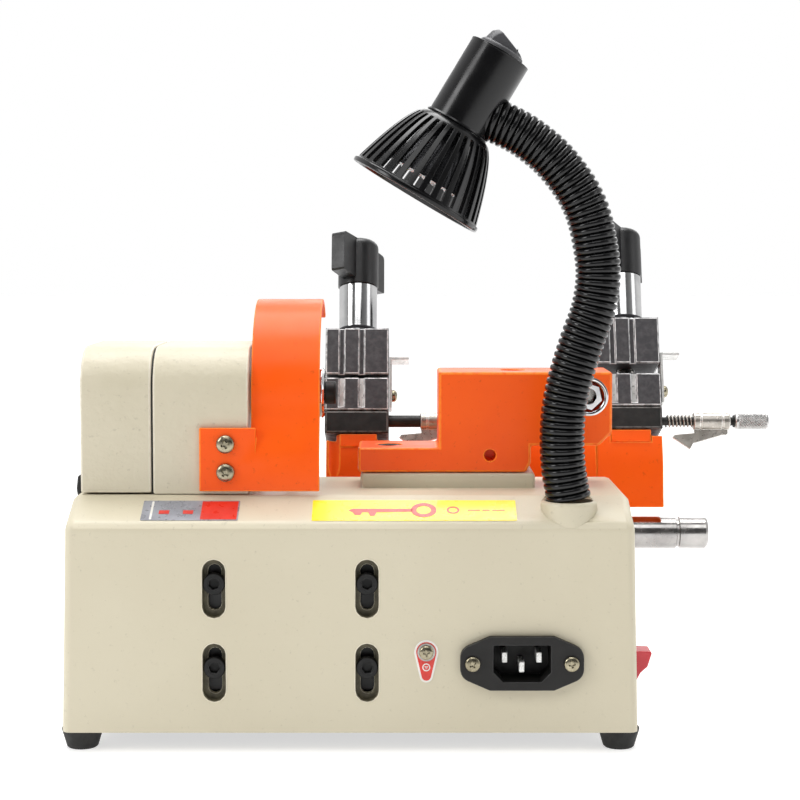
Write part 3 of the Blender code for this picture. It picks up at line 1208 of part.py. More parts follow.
def main():
    clear_scene()
    finish = make_finishes()
    machine = frame_at("machine", (0, 0, 0))
    make_base(finish, machine)
    make_bottom_plate(finish, machine)
    make_feet(finish, machine)
    make_headstock(finish, machine)
    make_belt_cover(finish, machine)
    make_bearings(finish, machine)
    make_spindle(finish, machine)
    make_cutter(finish, machine)
    make_motor(finish, machine)
    make_belt(finish, machine)
    make_guard(finish, machine)
    make_tracer_block(finish, machine)
    make_tracer(finish, machine)
    make_lamp(finish, machine)
    make_inlet(finish, machine)
    make_power_switch(finish, machine)
    make_shaft(finish, machine)
    carriage = frame_at("carriage_pivot", (0, PIVOT_Y, PIVOT_Z), (-CARRIAGE_TILT, 0, 0), machine)
    make_carriage(finish, carriage)
    for side, middle, seat, opening in VISES:
        make_vise(side, middle, seat, opening, finish, carriage)
    make_gauge(finish, carriage)
    stand_on_origin(machine)


main()
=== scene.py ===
"""Looks of the key duplicating machine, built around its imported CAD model.

Shapes are made in the same frames as the CAD part: BASE has X = 0 at the middle of the base, Y = 0 at the
rear wall and Z = 0 on the floor, and CARRIAGE is centred on the shaft and leans with it. All in metres.
"""
import json
import math

import bmesh
import bpy
from mathutils import Matrix, Vector

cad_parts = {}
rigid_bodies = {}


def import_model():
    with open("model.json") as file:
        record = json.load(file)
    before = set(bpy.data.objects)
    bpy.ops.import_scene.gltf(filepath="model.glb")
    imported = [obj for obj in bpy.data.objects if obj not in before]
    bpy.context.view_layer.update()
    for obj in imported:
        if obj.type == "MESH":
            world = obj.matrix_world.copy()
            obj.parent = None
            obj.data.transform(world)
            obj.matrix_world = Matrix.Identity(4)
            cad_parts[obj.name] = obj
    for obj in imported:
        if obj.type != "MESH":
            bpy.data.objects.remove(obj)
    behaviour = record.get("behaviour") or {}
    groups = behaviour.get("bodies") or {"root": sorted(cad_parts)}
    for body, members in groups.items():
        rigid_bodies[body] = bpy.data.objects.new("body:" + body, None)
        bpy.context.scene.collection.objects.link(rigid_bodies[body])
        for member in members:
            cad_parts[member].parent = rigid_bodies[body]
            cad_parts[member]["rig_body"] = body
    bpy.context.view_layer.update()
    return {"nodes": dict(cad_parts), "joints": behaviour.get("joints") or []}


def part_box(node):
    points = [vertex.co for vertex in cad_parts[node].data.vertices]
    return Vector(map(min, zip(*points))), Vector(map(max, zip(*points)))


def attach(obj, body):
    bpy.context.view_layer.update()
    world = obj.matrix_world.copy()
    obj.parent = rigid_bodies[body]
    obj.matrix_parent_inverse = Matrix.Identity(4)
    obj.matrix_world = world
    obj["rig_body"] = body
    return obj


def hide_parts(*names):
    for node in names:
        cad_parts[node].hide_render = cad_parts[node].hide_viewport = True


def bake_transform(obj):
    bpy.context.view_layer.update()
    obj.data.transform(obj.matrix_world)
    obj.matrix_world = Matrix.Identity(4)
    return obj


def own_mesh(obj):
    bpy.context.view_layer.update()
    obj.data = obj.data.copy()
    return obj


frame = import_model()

NODES = frame["nodes"]
JOINTS = {joint["name"]: joint for joint in frame["joints"]}

# ------------------------------------------------------ sizes that the looks share with the CAD part
GAP = 0.0003
SPINDLE_Y, SPINDLE_Z = 0.065, 0.142
HEAD_REAR, HEAD_FRONT, HEAD_LEFT, HEAD_TOP, HEAD_ROUNDING = 0.021, 0.095, -0.082, 0.164, 0.017
PLATEAU = 0.103
COVER_JOINT = 0.0008
PULLEY_X = -0.0975
CUTTER_X, CUTTER_RADIUS, CUTTER_WIDTH = -0.0278, 0.030, 0.005
LAMP_X, LAMP_Y = 0.0895, 0.012
INLET_X, INLET_Z = 0.0697, 0.0375
TRACER_X, BLOCK_REAR = 0.1007, 0.043
CARRIAGE_TILT = 20.0
VISES = {"left": (0.0, 0.0440, 0.0016), "right": (0.1285, 0.0462, 0.0048)}
GAUGE_V, GAUGE_W = -0.0098, 0.0512
NECK_ROUTE = (
    (0.0895, 0.1023), (0.0872, 0.1156), (0.0866, 0.1287), (0.0876, 0.1418), (0.0905, 0.1545),
    (0.0946, 0.1676), (0.0991, 0.1807), (0.1009, 0.1939), (0.0995, 0.2070), (0.0962, 0.2201),
    (0.0905, 0.2310), (0.0819, 0.2416), (0.0715, 0.2500), (0.0617, 0.2553),
)
NECK_END = (0.0520, 0.2590)   # inside the lamp's housing


# ================================================================ frames
def shift(x=0.0, y=0.0, z=0.0):
    return Matrix.Translation((x, y, z))


def turn(degrees, axis):
    return Matrix.Rotation(math.radians(degrees), 4, axis)


ALONG = {"X": turn(90, "Y"), "Y": turn(-90, "X"), "Z": Matrix.Identity(4), "-Y": turn(90, "X")}
low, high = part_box("base_casting")
BASE = shift((low.x + high.x) / 2, low.y, 0)
CARRIAGE = shift(*JOINTS["carriage_swing"]["pos_m"]) @ turn(-CARRIAGE_TILT, "X")
LAMP_HEAD = shift(*JOINTS["lamp_rocker_tip"]["pos_m"]) @ turn(31, "Y")
HANDLE = CARRIAGE @ shift(0.064, 0.0163, 0.027) @ turn(10, "X")
SWITCH = shift(*JOINTS["power_rocker_tip"]["pos_m"]) @ turn(14, "Y")


def knob_frame(side):
    return shift(*JOINTS[f"knob_{side}_turn"]["pos_m"]) @ turn(-CARRIAGE_TILT, "X") @ turn(64, "Z")


# ================================================================ materials
def linear(colour):
    return [c / 12.92 if c <= 0.04045 else ((c + 0.055) / 1.055) ** 2.4 for c in colour] + [1.0]


def shader_node(tree, kind, **inputs):
    made = tree.nodes.new(f"ShaderNode{kind}")
    for name, value in inputs.items():
        made.inputs[name.replace("_", " ")].default_value = value
    return made


def noise_value(tree, place, scale, detail=3.0, rough=0.55, stretch=None):
    """A noise's value, 0 to 1, over the piece's own place at rest."""
    source = place.outputs["Object"]
    if stretch:
        mapping = tree.nodes.new("ShaderNodeMapping")
        mapping.inputs["Scale"].default_value = stretch
        tree.links.new(source, mapping.inputs["Vector"])
        source = mapping.outputs["Vector"]
    noise = shader_node(tree, "TexNoise", Scale=scale, Detail=detail, Roughness=rough)
    tree.links.new(source, noise.inputs["Vector"])
    return noise.outputs["Fac"]


def spread(tree, value, low_in, high_in, low_out, high_out):
    made = tree.nodes.new("ShaderNodeMapRange")
    for name, number in (("From Min", low_in), ("From Max", high_in), ("To Min", low_out),
                         ("To Max", high_out)):
        made.inputs[name].default_value = number
    tree.links.new(value, made.inputs["Value"])
    return made.outputs["Result"]


def blended(tree, share, one, two):
    """A colour between two: each is a list or another node's output."""
    made = tree.nodes.new("ShaderNodeMix")
    made.data_type = "RGBA"
    tree.links.new(share, made.inputs[0])
    for socket, value in ((made.inputs[6], one), (made.inputs[7], two)):
        if isinstance(value, list):
            socket.default_value = value
        else:
            tree.links.new(value, socket)
    return made.outputs[2]


EDGES = {}


def surface(name, slot, colour, rough, metal=0.0, second=None, patches=25.0, patch_range=(0.38, 0.66),
            rough_spread=0.06, grain=900.0, grain_depth=0.00002, waves=0.0, waves_scale=160.0,
            stretch=None,
            edge=None, coat=0.0, grime=None, specular=0.5):
    """A layered finish: two tints in soft patches, a lighter tint for edges that is partly wear and partly a painted
    highlight, grime, uneven gloss and relief.
    """
    made = bpy.data.materials.new(name)
    made.use_nodes = True
    tree = made.node_tree
    shader = tree.nodes["Principled BSDF"]
    place = tree.nodes.new("ShaderNodeTexCoord")
    tint = linear(colour)
    other = linear(second) if second else [c * 0.9 for c in tint[:3]] + [1.0]
    wide = noise_value(tree, place, patches, 4.0)
    fine = noise_value(tree, place, grain, 2.0, 0.6, stretch)
    result = blended(tree, spread(tree, wide, *patch_range, 0, 1), tint, other)
    if grime:
        dirt = spread(tree, noise_value(tree, place, 420.0, 6.0, 0.7), 0.60, 0.72, 0, 0.35)
        result = blended(tree, dirt, result, linear(grime))
    tree.links.new(result, shader.inputs["Base Color"])
    gloss = noise_value(tree, place, patches * 3.1, 5.0)
    tree.links.new(spread(tree, gloss, 0.35, 0.65, rough - rough_spread, rough + rough_spread),
                   shader.inputs["Roughness"])
    shader.inputs["Metallic"].default_value = metal
    shader.inputs["Coat Weight"].default_value = coat
    shader.inputs["Specular IOR Level"].default_value = specular
    shader.inputs["Coat Roughness"].default_value = 0.08
    bump = tree.nodes.new("ShaderNodeBump")
    bump.inputs["Distance"].default_value = grain_depth
    tree.links.new(fine, bump.inputs["Height"])
    if waves:
        under = tree.nodes.new("ShaderNodeBump")
        under.inputs["Distance"].default_value = waves
        tree.links.new(noise_value(tree, place, waves_scale, 2.0), under.inputs["Height"])
        tree.links.new(under.outputs["Normal"], bump.inputs["Normal"])
    tree.links.new(bump.outputs["Normal"], shader.inputs["Normal"])
    # the lighter edge tint is partly wear and partly a painted highlight along every bevelled edge
    if edge:
        EDGES[made.name] = surface(f"{name}_wear_and_painted_highlight_edge", slot, edge, rough + 0.04, metal, colour, 350.0,
                                   (0.45, 0.75),
                                   rough_spread, grain, grain_depth, coat=coat, specular=specular)
    return made


CREAM = surface("cream_enamel", "cream_paint", (0.815, 0.783, 0.690), 0.45, second=(0.797, 0.763, 0.668),
                patches=9.0, grain=620.0, grain_depth=0.00005, waves=0.00012, waves_scale=130.0,
                edge=(0.87, 0.84, 0.76), coat=0.05, grime=(0.55, 0.52, 0.43))
CREAM_ROUGH = surface("cream_hammered", "cream_paint", (0.805, 0.773, 0.685), 0.48,
                      second=(0.775, 0.743, 0.650),
                      patches=22.0, grain=420.0, grain_depth=0.00022, waves=0.00035, waves_scale=190.0,
                      edge=(0.86, 0.83, 0.76), coat=0.05, grime=(0.5, 0.47, 0.4))
ORANGE = surface("orange_enamel", "orange_paint", (0.985, 0.375, 0.055), 0.38,
                 second=(0.955, 0.335, 0.040),
                 patches=18.0, grain=700.0, grain_depth=0.00002, waves=0.00006, waves_scale=170.0,
                 edge=(1.0, 0.52, 0.16), coat=0.04, grime=(0.55, 0.13, 0.01),
                 specular=0.25)
BLACK_PLASTIC = surface("satin_black_plastic", "black_plastic", (0.085, 0.085, 0.09), 0.36,
                        second=(0.065, 0.065, 0.07), patches=60.0, grain=2200.0, grain_depth=0.00003,
                        edge=(0.2, 0.2, 0.21))
NECK_PLASTIC = surface("gooseneck_plastic", "black_plastic", (0.055, 0.055, 0.060), 0.17,
                       second=(0.035, 0.035, 0.038), patches=50.0, rough_spread=0.04, grain=300.0,
                       grain_depth=0.000002, specular=0.4)
SOCKET_PLASTIC = surface("inlet_plastic", "black_plastic", (0.115, 0.11, 0.105), 0.5,
                         second=(0.09, 0.085, 0.08),
                         patches=70.0, grain=2600.0, grain_depth=0.00003, edge=(0.22, 0.22, 0.22),
                         specular=0.35)
GLOSS_BLACK = surface("gloss_black_plastic", "gloss_black", (0.03, 0.03, 0.035), 0.2,
                      second=(0.04, 0.04, 0.045), patches=30.0, rough_spread=0.04, grain=500.0,
                      grain_depth=0.000004, specular=0.42)
ROCKER_GREY = surface("grey_switch_plastic", "black_plastic", (0.30, 0.30, 0.31), 0.42,
                      second=(0.26, 0.26, 0.27), patches=90.0, grain=2500.0, grain_depth=0.00003,
                      edge=(0.4, 0.4, 0.41))
RUBBER = surface("black_rubber", "rubber", (0.10, 0.10, 0.10), 0.72, second=(0.14, 0.138, 0.135),
                 patches=110.0,
                 grain=1300.0, grain_depth=0.00006, edge=(0.2, 0.2, 0.2))
VISE_STEEL = surface("heat_treated_steel", "vise_steel", (0.27, 0.265, 0.275), 0.5, 0.55,
                     second=(0.35, 0.345, 0.35), patches=380.0, patch_range=(0.40, 0.75),
                     rough_spread=0.07,
                     grain=1500.0, grain_depth=0.00006, edge=(0.88, 0.88, 0.88))
BRIGHT_STEEL = surface("milled_steel", "vise_steel", (0.86, 0.86, 0.85), 0.35, 0.55,
                       second=(0.74, 0.74, 0.73),
                       patches=200.0, rough_spread=0.08, grain=1800.0, grain_depth=0.00001,
                       stretch=(1, 1, 12))
SCREW_STEEL = surface("plated_screw", "chrome", (0.66, 0.63, 0.54), 0.27, 1.0, second=(0.55, 0.52, 0.44),
                      patches=260.0, rough_spread=0.07, grain=1600.0, grain_depth=0.00001,
                      grime=(0.12, 0.11, 0.09))
NICKEL = surface("nickel_plate", "chrome", (0.74, 0.72, 0.69), 0.32, 0.8, second=(0.62, 0.60, 0.57),
                 patches=180.0, rough_spread=0.07, grain=1500.0, grain_depth=0.00001,
                 edge=(0.9, 0.89, 0.87))
CHROME = surface("polished_chrome", "chrome", (0.86, 0.86, 0.86), 0.1, 1.0, second=(0.78, 0.78, 0.785),
                 patches=70.0, rough_spread=0.05, grain=1600.0, grain_depth=0.000004, stretch=(1, 9, 9))
TURNED_STEEL = surface("turned_shaft", "chrome", (0.74, 0.73, 0.72), 0.2, 1.0, second=(0.60, 0.59, 0.585),
                       patches=45.0, rough_spread=0.09, grain=700.0, grain_depth=0.00001,
                       stretch=(6, 1, 1),
                       grime=(0.25, 0.23, 0.21))
TOOL_STEEL = surface("ground_steel", "tool_steel", (0.68, 0.67, 0.65), 0.3, 1.0, second=(0.55, 0.54, 0.52),
                     patches=120.0, rough_spread=0.1, grain=1400.0, grain_depth=0.00002,
                     stretch=(10, 1, 1),
                     edge=(0.85, 0.85, 0.84))
KNURL_STEEL = surface("nickel_knurl", "chrome", (0.78, 0.775, 0.77), 0.3, 1.0, second=(0.66, 0.655, 0.65),
                      patches=150.0, grain=1800.0, grain_depth=0.00002, grime=(0.32, 0.31, 0.3))
BLACKENED = surface("blackened_steel", "blackened_steel", (0.13, 0.128, 0.125), 0.48, 0.5,
                    second=(0.19, 0.185, 0.18), patches=140.0, rough_spread=0.1, grain=1200.0,
                    grain_depth=0.00003, edge=(0.45, 0.44, 0.43))
BLACK_OXIDE = surface("black_oxide", "blackened_steel", (0.055, 0.054, 0.052), 0.5, 0.3,
                      second=(0.09, 0.088, 0.085), patches=200.0, grain=1500.0, grain_depth=0.00002)
MOTOR_PAINT = surface("motor_black", "motor_paint", (0.075, 0.075, 0.08), 0.5, second=(0.11, 0.11, 0.115),
                      patches=40.0, grain=800.0, grain_depth=0.00006, waves=0.0001, edge=(0.2, 0.2, 0.2))
# a darker colour for the walls of the slot recesses: painted shade
PAINTED_RECESS_SHADE = surface("slot_recess_painted_shade", "cream_paint", (0.42, 0.395, 0.31), 0.55, second=(0.30, 0.28, 0.21),
                 patches=260.0, grain=900.0, grain_depth=0.00004)
PIN_METAL = surface("contact_pin", "chrome", (0.93, 0.93, 0.92), 0.3, 0.35, second=(0.84, 0.84, 0.82),
                    patches=400.0, grain=1500.0, grain_depth=0.000004)
RED_PLASTIC = surface("red_switch_plastic", "red_plastic", (0.82, 0.11, 0.17), 0.24,
                      second=(0.76, 0.08, 0.14),
                      patches=90.0, rough_spread=0.03, grain=1500.0, grain_depth=0.00001, coat=0.3)
YELLOW_FILM = surface("yellow_label_film", None, (0.995, 0.90, 0.03), 0.3, second=(0.98, 0.87, 0.02),
                      patches=60.0, grain=900.0, grain_depth=0.00001, coat=0.3)
RED_FILM = surface("red_print", None, (0.86, 0.16, 0.08), 0.32, second=(0.80, 0.12, 0.06), patches=120.0,
                   grain=900.0, grain_depth=0.00001, coat=0.3)
WHITE_FILM = surface("white_label_film", None, (0.93, 0.92, 0.90), 0.35, second=(0.88, 0.87, 0.84),
                     patches=120.0, grain=900.0, grain_depth=0.00001)
SILVER_FILM = surface("silver_label_film", None, (0.62, 0.63, 0.67), 0.3, 0.45, second=(0.54, 0.55, 0.59),
                      patches=80.0, grain=1500.0, grain_depth=0.00002, stretch=(8, 1, 1))
# the lamp module's dark grey is partly its own dark housing and partly painted shade for the inside of the shade
REFLECTOR = surface("lamp_module", "lens", (0.20, 0.20, 0.21), 0.25, 0.6, second=(0.16, 0.16, 0.17),
                    patches=300.0, rough_spread=0.05, grain=900.0, grain_depth=0.00003)


def lens_material():
    made = surface("clear_lens", "lens", (0.93, 0.95, 0.97), 0.09, second=(0.90, 0.92, 0.95),
                   patches=200.0,
                   rough_spread=0.04, grain=600.0, grain_depth=0.00002)
    shader = made.node_tree.nodes["Principled BSDF"]
    shader.inputs["Transmission Weight"].default_value = 0.85
    shader.inputs["IOR"].default_value = 1.49
    return made


LENS = lens_material()


# ================================================================ shapes
def finished(name, shape, body, material, place=BASE, replaces=(), bevel=0.0, segments=2, sharp=32.0,
             more=()):
    """An object from a bmesh in a frame. It rides on a body and may stand for CAD nodes."""
    bmesh.ops.remove_doubles(shape, verts=shape.verts, dist=1e-7)
    bmesh.ops.recalc_face_normals(shape, faces=shape.faces)
    shape.transform(place)
    mesh = bpy.data.meshes.new(name)
    shape.to_mesh(mesh)
    shape.free()
    for one in (material, *more):
        mesh.materials.append(one)
    made = bpy.data.objects.new(name, mesh)
    bpy.context.collection.objects.link(made)
    mesh.shade_smooth()
    if bevel:
        edges = made.modifiers.new("edges", "BEVEL")
        edges.width, edges.segments, edges.limit_method = bevel, segments, "ANGLE"
        edges.angle_limit, edges.use_clamp_overlap = math.radians(sharp), False
        # bevel faces take the lighter edge tint: partly wear, partly a painted highlight
        if material.name in EDGES:
            edges.material = len(mesh.materials)
            mesh.materials.append(EDGES[material.name])
    else:
        mesh.set_sharp_from_angle(angle=math.radians(sharp))
    even = made.modifiers.new("even_normals", "WEIGHTED_NORMAL")
    even.keep_sharp, even.weight = True, 90
    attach(made, body)
    if replaces:
        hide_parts(*replaces)
    return made


def extruded(outline, low, high, shape=None):
    """A straight prism over an outline of (X, Y) points, from low to high in Z."""
    shape = shape or bmesh.new()
    ends = [[shape.verts.new((x, y, z)) for x, y in outline] for z in (low, high)]
    shape.faces.new(ends[0][::-1])
    shape.faces.new(ends[1])
    for i in range(len(outline)):
        j = (i + 1) % len(outline)
        shape.faces.new((ends[0][i], ends[0][j], ends[1][j], ends[1][i]))
    return shape


def boxed(low, high, shape=None):
    return extruded([(low[0], low[1]), (high[0], low[1]), (high[0], high[1]), (low[0], high[1])], low[2],
                    high[2],
                    shape)


def turned(profile, sides=48, hollow=False, shape=None, wobble=None):
    """A solid of revolution about Z, from (radius, height) pairs; a hollow one closes on itself."""
    shape = shape or bmesh.new()
    rings = []
    for r, z in profile:
        count = 1 if r == 0 else sides
        ring = []
        for i in range(count):
            angle = math.tau * i / sides
            reach = r * (wobble(angle, z) if wobble and r else 1.0)
            ring.append(shape.verts.new((reach * math.cos(angle), reach * math.sin(angle), z)))
        rings.append(ring)
    pairs = list(zip(rings, rings[1:])) + ([(rings[-1], rings[0])] if hollow else [])
    for one, two in pairs:
        for i in range(sides):
            j = (i + 1) % sides
            corners = [one[i % len(one)], one[j % len(one)], two[j % len(two)], two[i % len(two)]]
            shape.faces.new(list(dict.fromkeys(corners)))
    if not hollow:
        for ring in (rings[0], rings[-1]):
            if len(ring) > 1:
                shape.faces.new(ring)
    return shape


def rounded(points, radius, steps=4):
    """An outline with each corner turned into an arc. A radius may be given for each point."""
    made = []
    count = len(points)
    for i, point in enumerate(points):
        r = radius[i] if isinstance(radius, (list, tuple)) else radius
        here = Vector(point)
        back, ahead = Vector(points[i - 1]) - here, Vector(points[(i + 1) % count]) - here
        half = back.angle(ahead) / 2
        reach = min(r / math.tan(half), back.length * 0.49, ahead.length * 0.49)
        if reach < 1e-6:
            made.append(tuple(here))
            continue
        a, b = here + back.normalized() * reach, here + ahead.normalized() * reach
        for k in range(steps + 1):
            t = k / steps
            made.append(tuple((1 - t) ** 2 * a + 2 * t * (1 - t) * here + t * t * b))
    return made


def joined(one, two, operation="DIFFERENCE"):
    """The exact boolean of two bmeshes, as a bmesh."""
    things = []
    for shape in (one, two):
        bmesh.ops.recalc_face_normals(shape, faces=shape.faces)
        mesh = bpy.data.meshes.new("temporary")
        shape.to_mesh(mesh)
        shape.free()
        thing = bpy.data.objects.new("temporary", mesh)
        bpy.context.collection.objects.link(thing)
        things.append(thing)
    step = things[0].modifiers.new("step", "BOOLEAN")
    step.operation, step.solver, step.object = operation, "EXACT", things[1]
    shown = things[0].evaluated_get(bpy.context.evaluated_depsgraph_get())
    made = bmesh.new()
    made.from_mesh(shown.to_mesh())
    for thing in things:
        mesh = thing.data
        bpy.data.objects.remove(thing)
        bpy.data.meshes.remove(mesh)
    return made


def moved(shape, matrix):
    shape.transform(matrix)
    return shape


def refined(node, material, bevel=0.0004, segments=2, sharp=32.0, name=None, more=(), pick=None):
    """A CAD node's own shape with its flat faces whole again and its edges rounded. It replaces the node."""
    shape = bmesh.new()
    shape.from_mesh(NODES[node].data)
    bmesh.ops.remove_doubles(shape, verts=shape.verts, dist=2e-6)
    bmesh.ops.dissolve_limit(shape, angle_limit=math.radians(0.5), verts=shape.verts, edges=shape.edges)
    if pick:
        for face in shape.faces:
            face.material_index = 1 if pick(face.calc_center_median()) else 0
    return finished(name or f"{node}_looks", shape, NODES[node]["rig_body"], material, Matrix.Identity(4),
                    (node,),
                    bevel, segments, sharp, more)


def polygon(radius, sides, start=0.0):
    return [(radius * math.cos(start + math.tau * i / sides),
             radius * math.sin(start + math.tau * i / sides))
            for i in range(sides)]


def cross_head(radius, height, shank, length):
    """A domed screw head with a cross recess. Its seat is at 0 and its shank runs down."""
    profile = [(0, height)]
    for k in range(1, 8):
        share = k / 7
        profile.append((radius * math.sin(share * math.pi / 2) ** 0.9,
                        height * (0.35 + 0.65 * math.cos(share * math.pi / 2))))
    profile += [(radius, 0.0001), (radius - 0.0001, 0), (shank, 0), (shank, -length)]
    head = turned(profile, 40)
    arm, width = radius * 0.60, radius * 0.13
    for angle in (0, 90):
        slot = [(-arm, -width), (arm, -width), (arm, width), (-arm, width)]
        cutter = extruded(slot, height * 0.45, height * 1.5)
        for vertex in cutter.verts:
            if vertex.co.z < height:
                vertex.co.x *= 0.55
        head = joined(head, moved(cutter, turn(angle, "Z")))
    return joined(head, extruded(polygon(radius * 0.27, 8), height * 0.2, height * 1.5))


def socket_head(radius, height, hexagon, depth, shank, length):
    """A socket-head screw with a knurled side. Its seat is at 0 and its shank runs down."""
    flutes = 36

    def knurl(angle, z):
        return 1.0 - (0.025 if height * 0.12 < z < height * 0.85 and round(angle / math.tau * flutes * 2) % 2 else 0)

    profile = [(shank, -length), (shank, 0), (radius - 0.0002, 0), (radius, height * 0.1),
               (radius, height * 0.14),
               (radius, height * 0.8), (radius, height * 0.86), (radius * 0.93, height),
               (hexagon * 1.2, height),
               (hexagon * 1.1, height - 0.0002)]
    head = turned(profile, flutes * 2, wobble=knurl)
    return joined(head, extruded(polygon(hexagon, 6), height - depth, height + 0.001))


def tube_along(points, radius, sides=32, twist=(0, 1, 0), cap=True):
    """A tube through points, with a radius for each. A fixed direction sets the turn of its section."""
    shape = bmesh.new()
    rings = []
    for i, point in enumerate(points):
        ahead = (points[min(i + 1, len(points) - 1)] - points[max(i - 1, 0)]).normalized()
        side = Vector(twist)
        side = (side - ahead * side.dot(ahead)).normalized()
        across = side.cross(ahead)
        rings.append([
            shape.verts.new(point + radius(i) * (math.cos(math.tau * k / sides) * side
                                                 + math.sin(math.tau * k / sides) * across)) for k in range(sides)
        ])
    for one, two in zip(rings, rings[1:]):
        for k in range(sides):
            m = (k + 1) % sides
            shape.faces.new((one[k], one[m], two[m], two[k]))
    if cap:
        shape.faces.new(rings[0])
        shape.faces.new(rings[-1])
    return shape


def stadium(width, length, steps=12):
    """An upright outline with round ends about the origin."""
    radius, half = width / 2, (length - width) / 2
    return [(radius * math.cos(math.radians(a)), sign * half + radius * math.sin(math.radians(a)))
            for sign, start in ((1, 0),
                                (-1, 180)) for a in (start + 180 * k / steps for k in range(steps + 1))]


def looped(points, radius, sides=8):
    """A closed bead round a flat loop of points; here it is a painted highlight along a slot's edge."""
    shape = bmesh.new()
    count = len(points)
    rings = []
    for i, point in enumerate(points):
        ahead = (points[(i + 1) % count] - points[i - 1]).normalized()
        out = ahead.cross(Vector((0, 0, 1)))
        rings.append([shape.verts.new(point + radius * (math.cos(math.tau * k / sides) * out
                                                        + math.sin(math.tau * k / sides) * Vector((0, 0,
                                                                                                   1))))
                      for k in range(sides)])
    for i in range(count):
        one, two = rings[i], rings[(i + 1) % count]
        for k in range(sides):
            m = (k + 1) % sides
            shape.faces.new((one[k], one[m], two[m], two[k]))
    return shape


def arched(inset, bottom, steps=10):
    """The headstock's side outline as (Y, Z) points, moved in by an inset."""
    radius = HEAD_ROUNDING - inset
    rear, front, top = HEAD_REAR + inset, HEAD_FRONT - inset, HEAD_TOP - inset
    made = [(rear, bottom), (front, bottom)]
    for centre, start in ((front - radius, 0), (rear + radius, 90)):
        for k in range(steps + 1):
            angle = math.radians(start + 90 * k / steps)
            made.append((centre + radius * math.cos(angle), top - radius + radius * math.sin(angle)))
    return made


# (Y, Z) outlines are extruded along X: local X is Y, local Y is Z and local Z is X
SIDEWAYS = Matrix(((0, 0, 1, 0), (1, 0, 0, 0), (0, 1, 0, 0), (0, 0, 0, 1)))
# (X, Z) outlines are extruded along Y: local X is X, local Y is Z and local Z is -Y
UPRIGHT = turn(90, "X")


# ================================================================ base, headstock and their fittings
def make_base():
    refined("base_casting", CREAM, 0.0, sharp=40)
    refined("bottom_plate", BLACKENED, 0.0003)
    collar = [(0.0096, 0.0900), (0.01155, 0.0900), (0.01155, 0.1004), (0.0113, 0.1013), (0.0107, 0.1019),
              (0.0100, 0.1020), (0.0096, 0.1016)]
    finished("lamp_boss", turned(collar, 96, True), "base", CREAM, BASE @ shift(LAMP_X, LAMP_Y),
             ("lamp_collar",),
             sharp=50)
    for number, (x, z) in enumerate((x, z) for x in (-0.055, 0.007) for z in (0.0675, 0.0332)):
        wall = BASE @ shift(x, 0, z) @ ALONG["-Y"]
        # each slot's recess gets a darker lining, painted shade inside the recess
        recess_shade_sheet = joined(extruded(stadium(0.0095, 0.0239), -0.0044, -0.0004),
                        extruded(stadium(0.0090, 0.0234), -0.0042, 0.001))
        recess_shade_sheet = joined(recess_shade_sheet, extruded(stadium(0.0058, 0.0192), -0.0060, 0.001))
        finished(f"slot_lining_{number}", recess_shade_sheet, "base", PAINTED_RECESS_SHADE, wall)
        # a lighter bead round each slot's mouth is a painted highlight on its edge
        rim = [Vector((px, py, 0.0)) for px, py in stadium(0.0099, 0.0243)]
        finished(f"slot_edge_painted_highlight_{number}", looped(rim, 0.00022), "base", EDGES[CREAM.name], wall, sharp=60)
    for side in ("rear_left", "rear_right", "front_left", "front_right"):
        box_low, box_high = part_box(f"foot_{side}")
        middle = (box_low + box_high) / 2
        top = box_high.z
        profile = [(0.0030, 0.0011), (0.0036, 0.0003), (0.0044, 0), (0.0058, 0), (0.0064, 0.0005),
                   (0.0067, 0.0014), (0.0084, top - 0.0010), (0.00845, top - 0.0004), (0.0083, top)]
        finished(f"rubber_foot_{side}", turned(profile, 48), "base", RUBBER, shift(middle.x, middle.y, 0),
                 (f"foot_{side}",))


def make_headstock():
    refined("headstock", CREAM_ROUGH, 0.0008, 3)
    refined("belt_cover", CREAM_ROUGH, 0.0009, 3)
    for side in ("left", "right"):
        refined(f"spindle_bearing_{side}", TOOL_STEEL, 0.0004)
    # a black strip fills the open line between the cover and the headstock: painted shade for that gap
    outer, inner = arched(0.0011, PLATEAU + 0.0005), arched(0.0028, PLATEAU + 0.0005)
    strip = bmesh.new()
    left, right = HEAD_LEFT - COVER_JOINT + 0.00008, HEAD_LEFT - 0.00008
    rings = [[strip.verts.new((y, z, x)) for y,
              z in line] for x in (left, right) for line in (outer, inner)]
    order = (rings[0], rings[1], rings[3], rings[2])
    for k in range(4):
        one, two = order[k], order[(k + 1) % 4]
        for i in range(1, len(outer)):
            j = (i + 1) % len(outer)
            strip.faces.new((one[i], one[j], two[j], two[i]))
    for i in (0, 1):
        strip.faces.new([ring[i] for ring in order])
    finished("cover_gap_painted_shade", strip, "base", RUBBER, BASE @ SIDEWAYS)
    # a black piece at the cover's left: painted shade for the dark seam there
    painted_side_shade = rounded([(0, 0), (0.0035, 0.0008), (0.0042, 0.0060), (0.0036, 0.0116), (0, 0.0124)], 0.0014)
    finished("cover_latch", extruded(painted_side_shade, -0.006, 0.006), "base", RUBBER,
             BASE @ shift(-0.1163, 0.058, 0.0955) @ turn(180, "Z") @ UPRIGHT @ shift(-0.0012),
             bevel=0.0006)


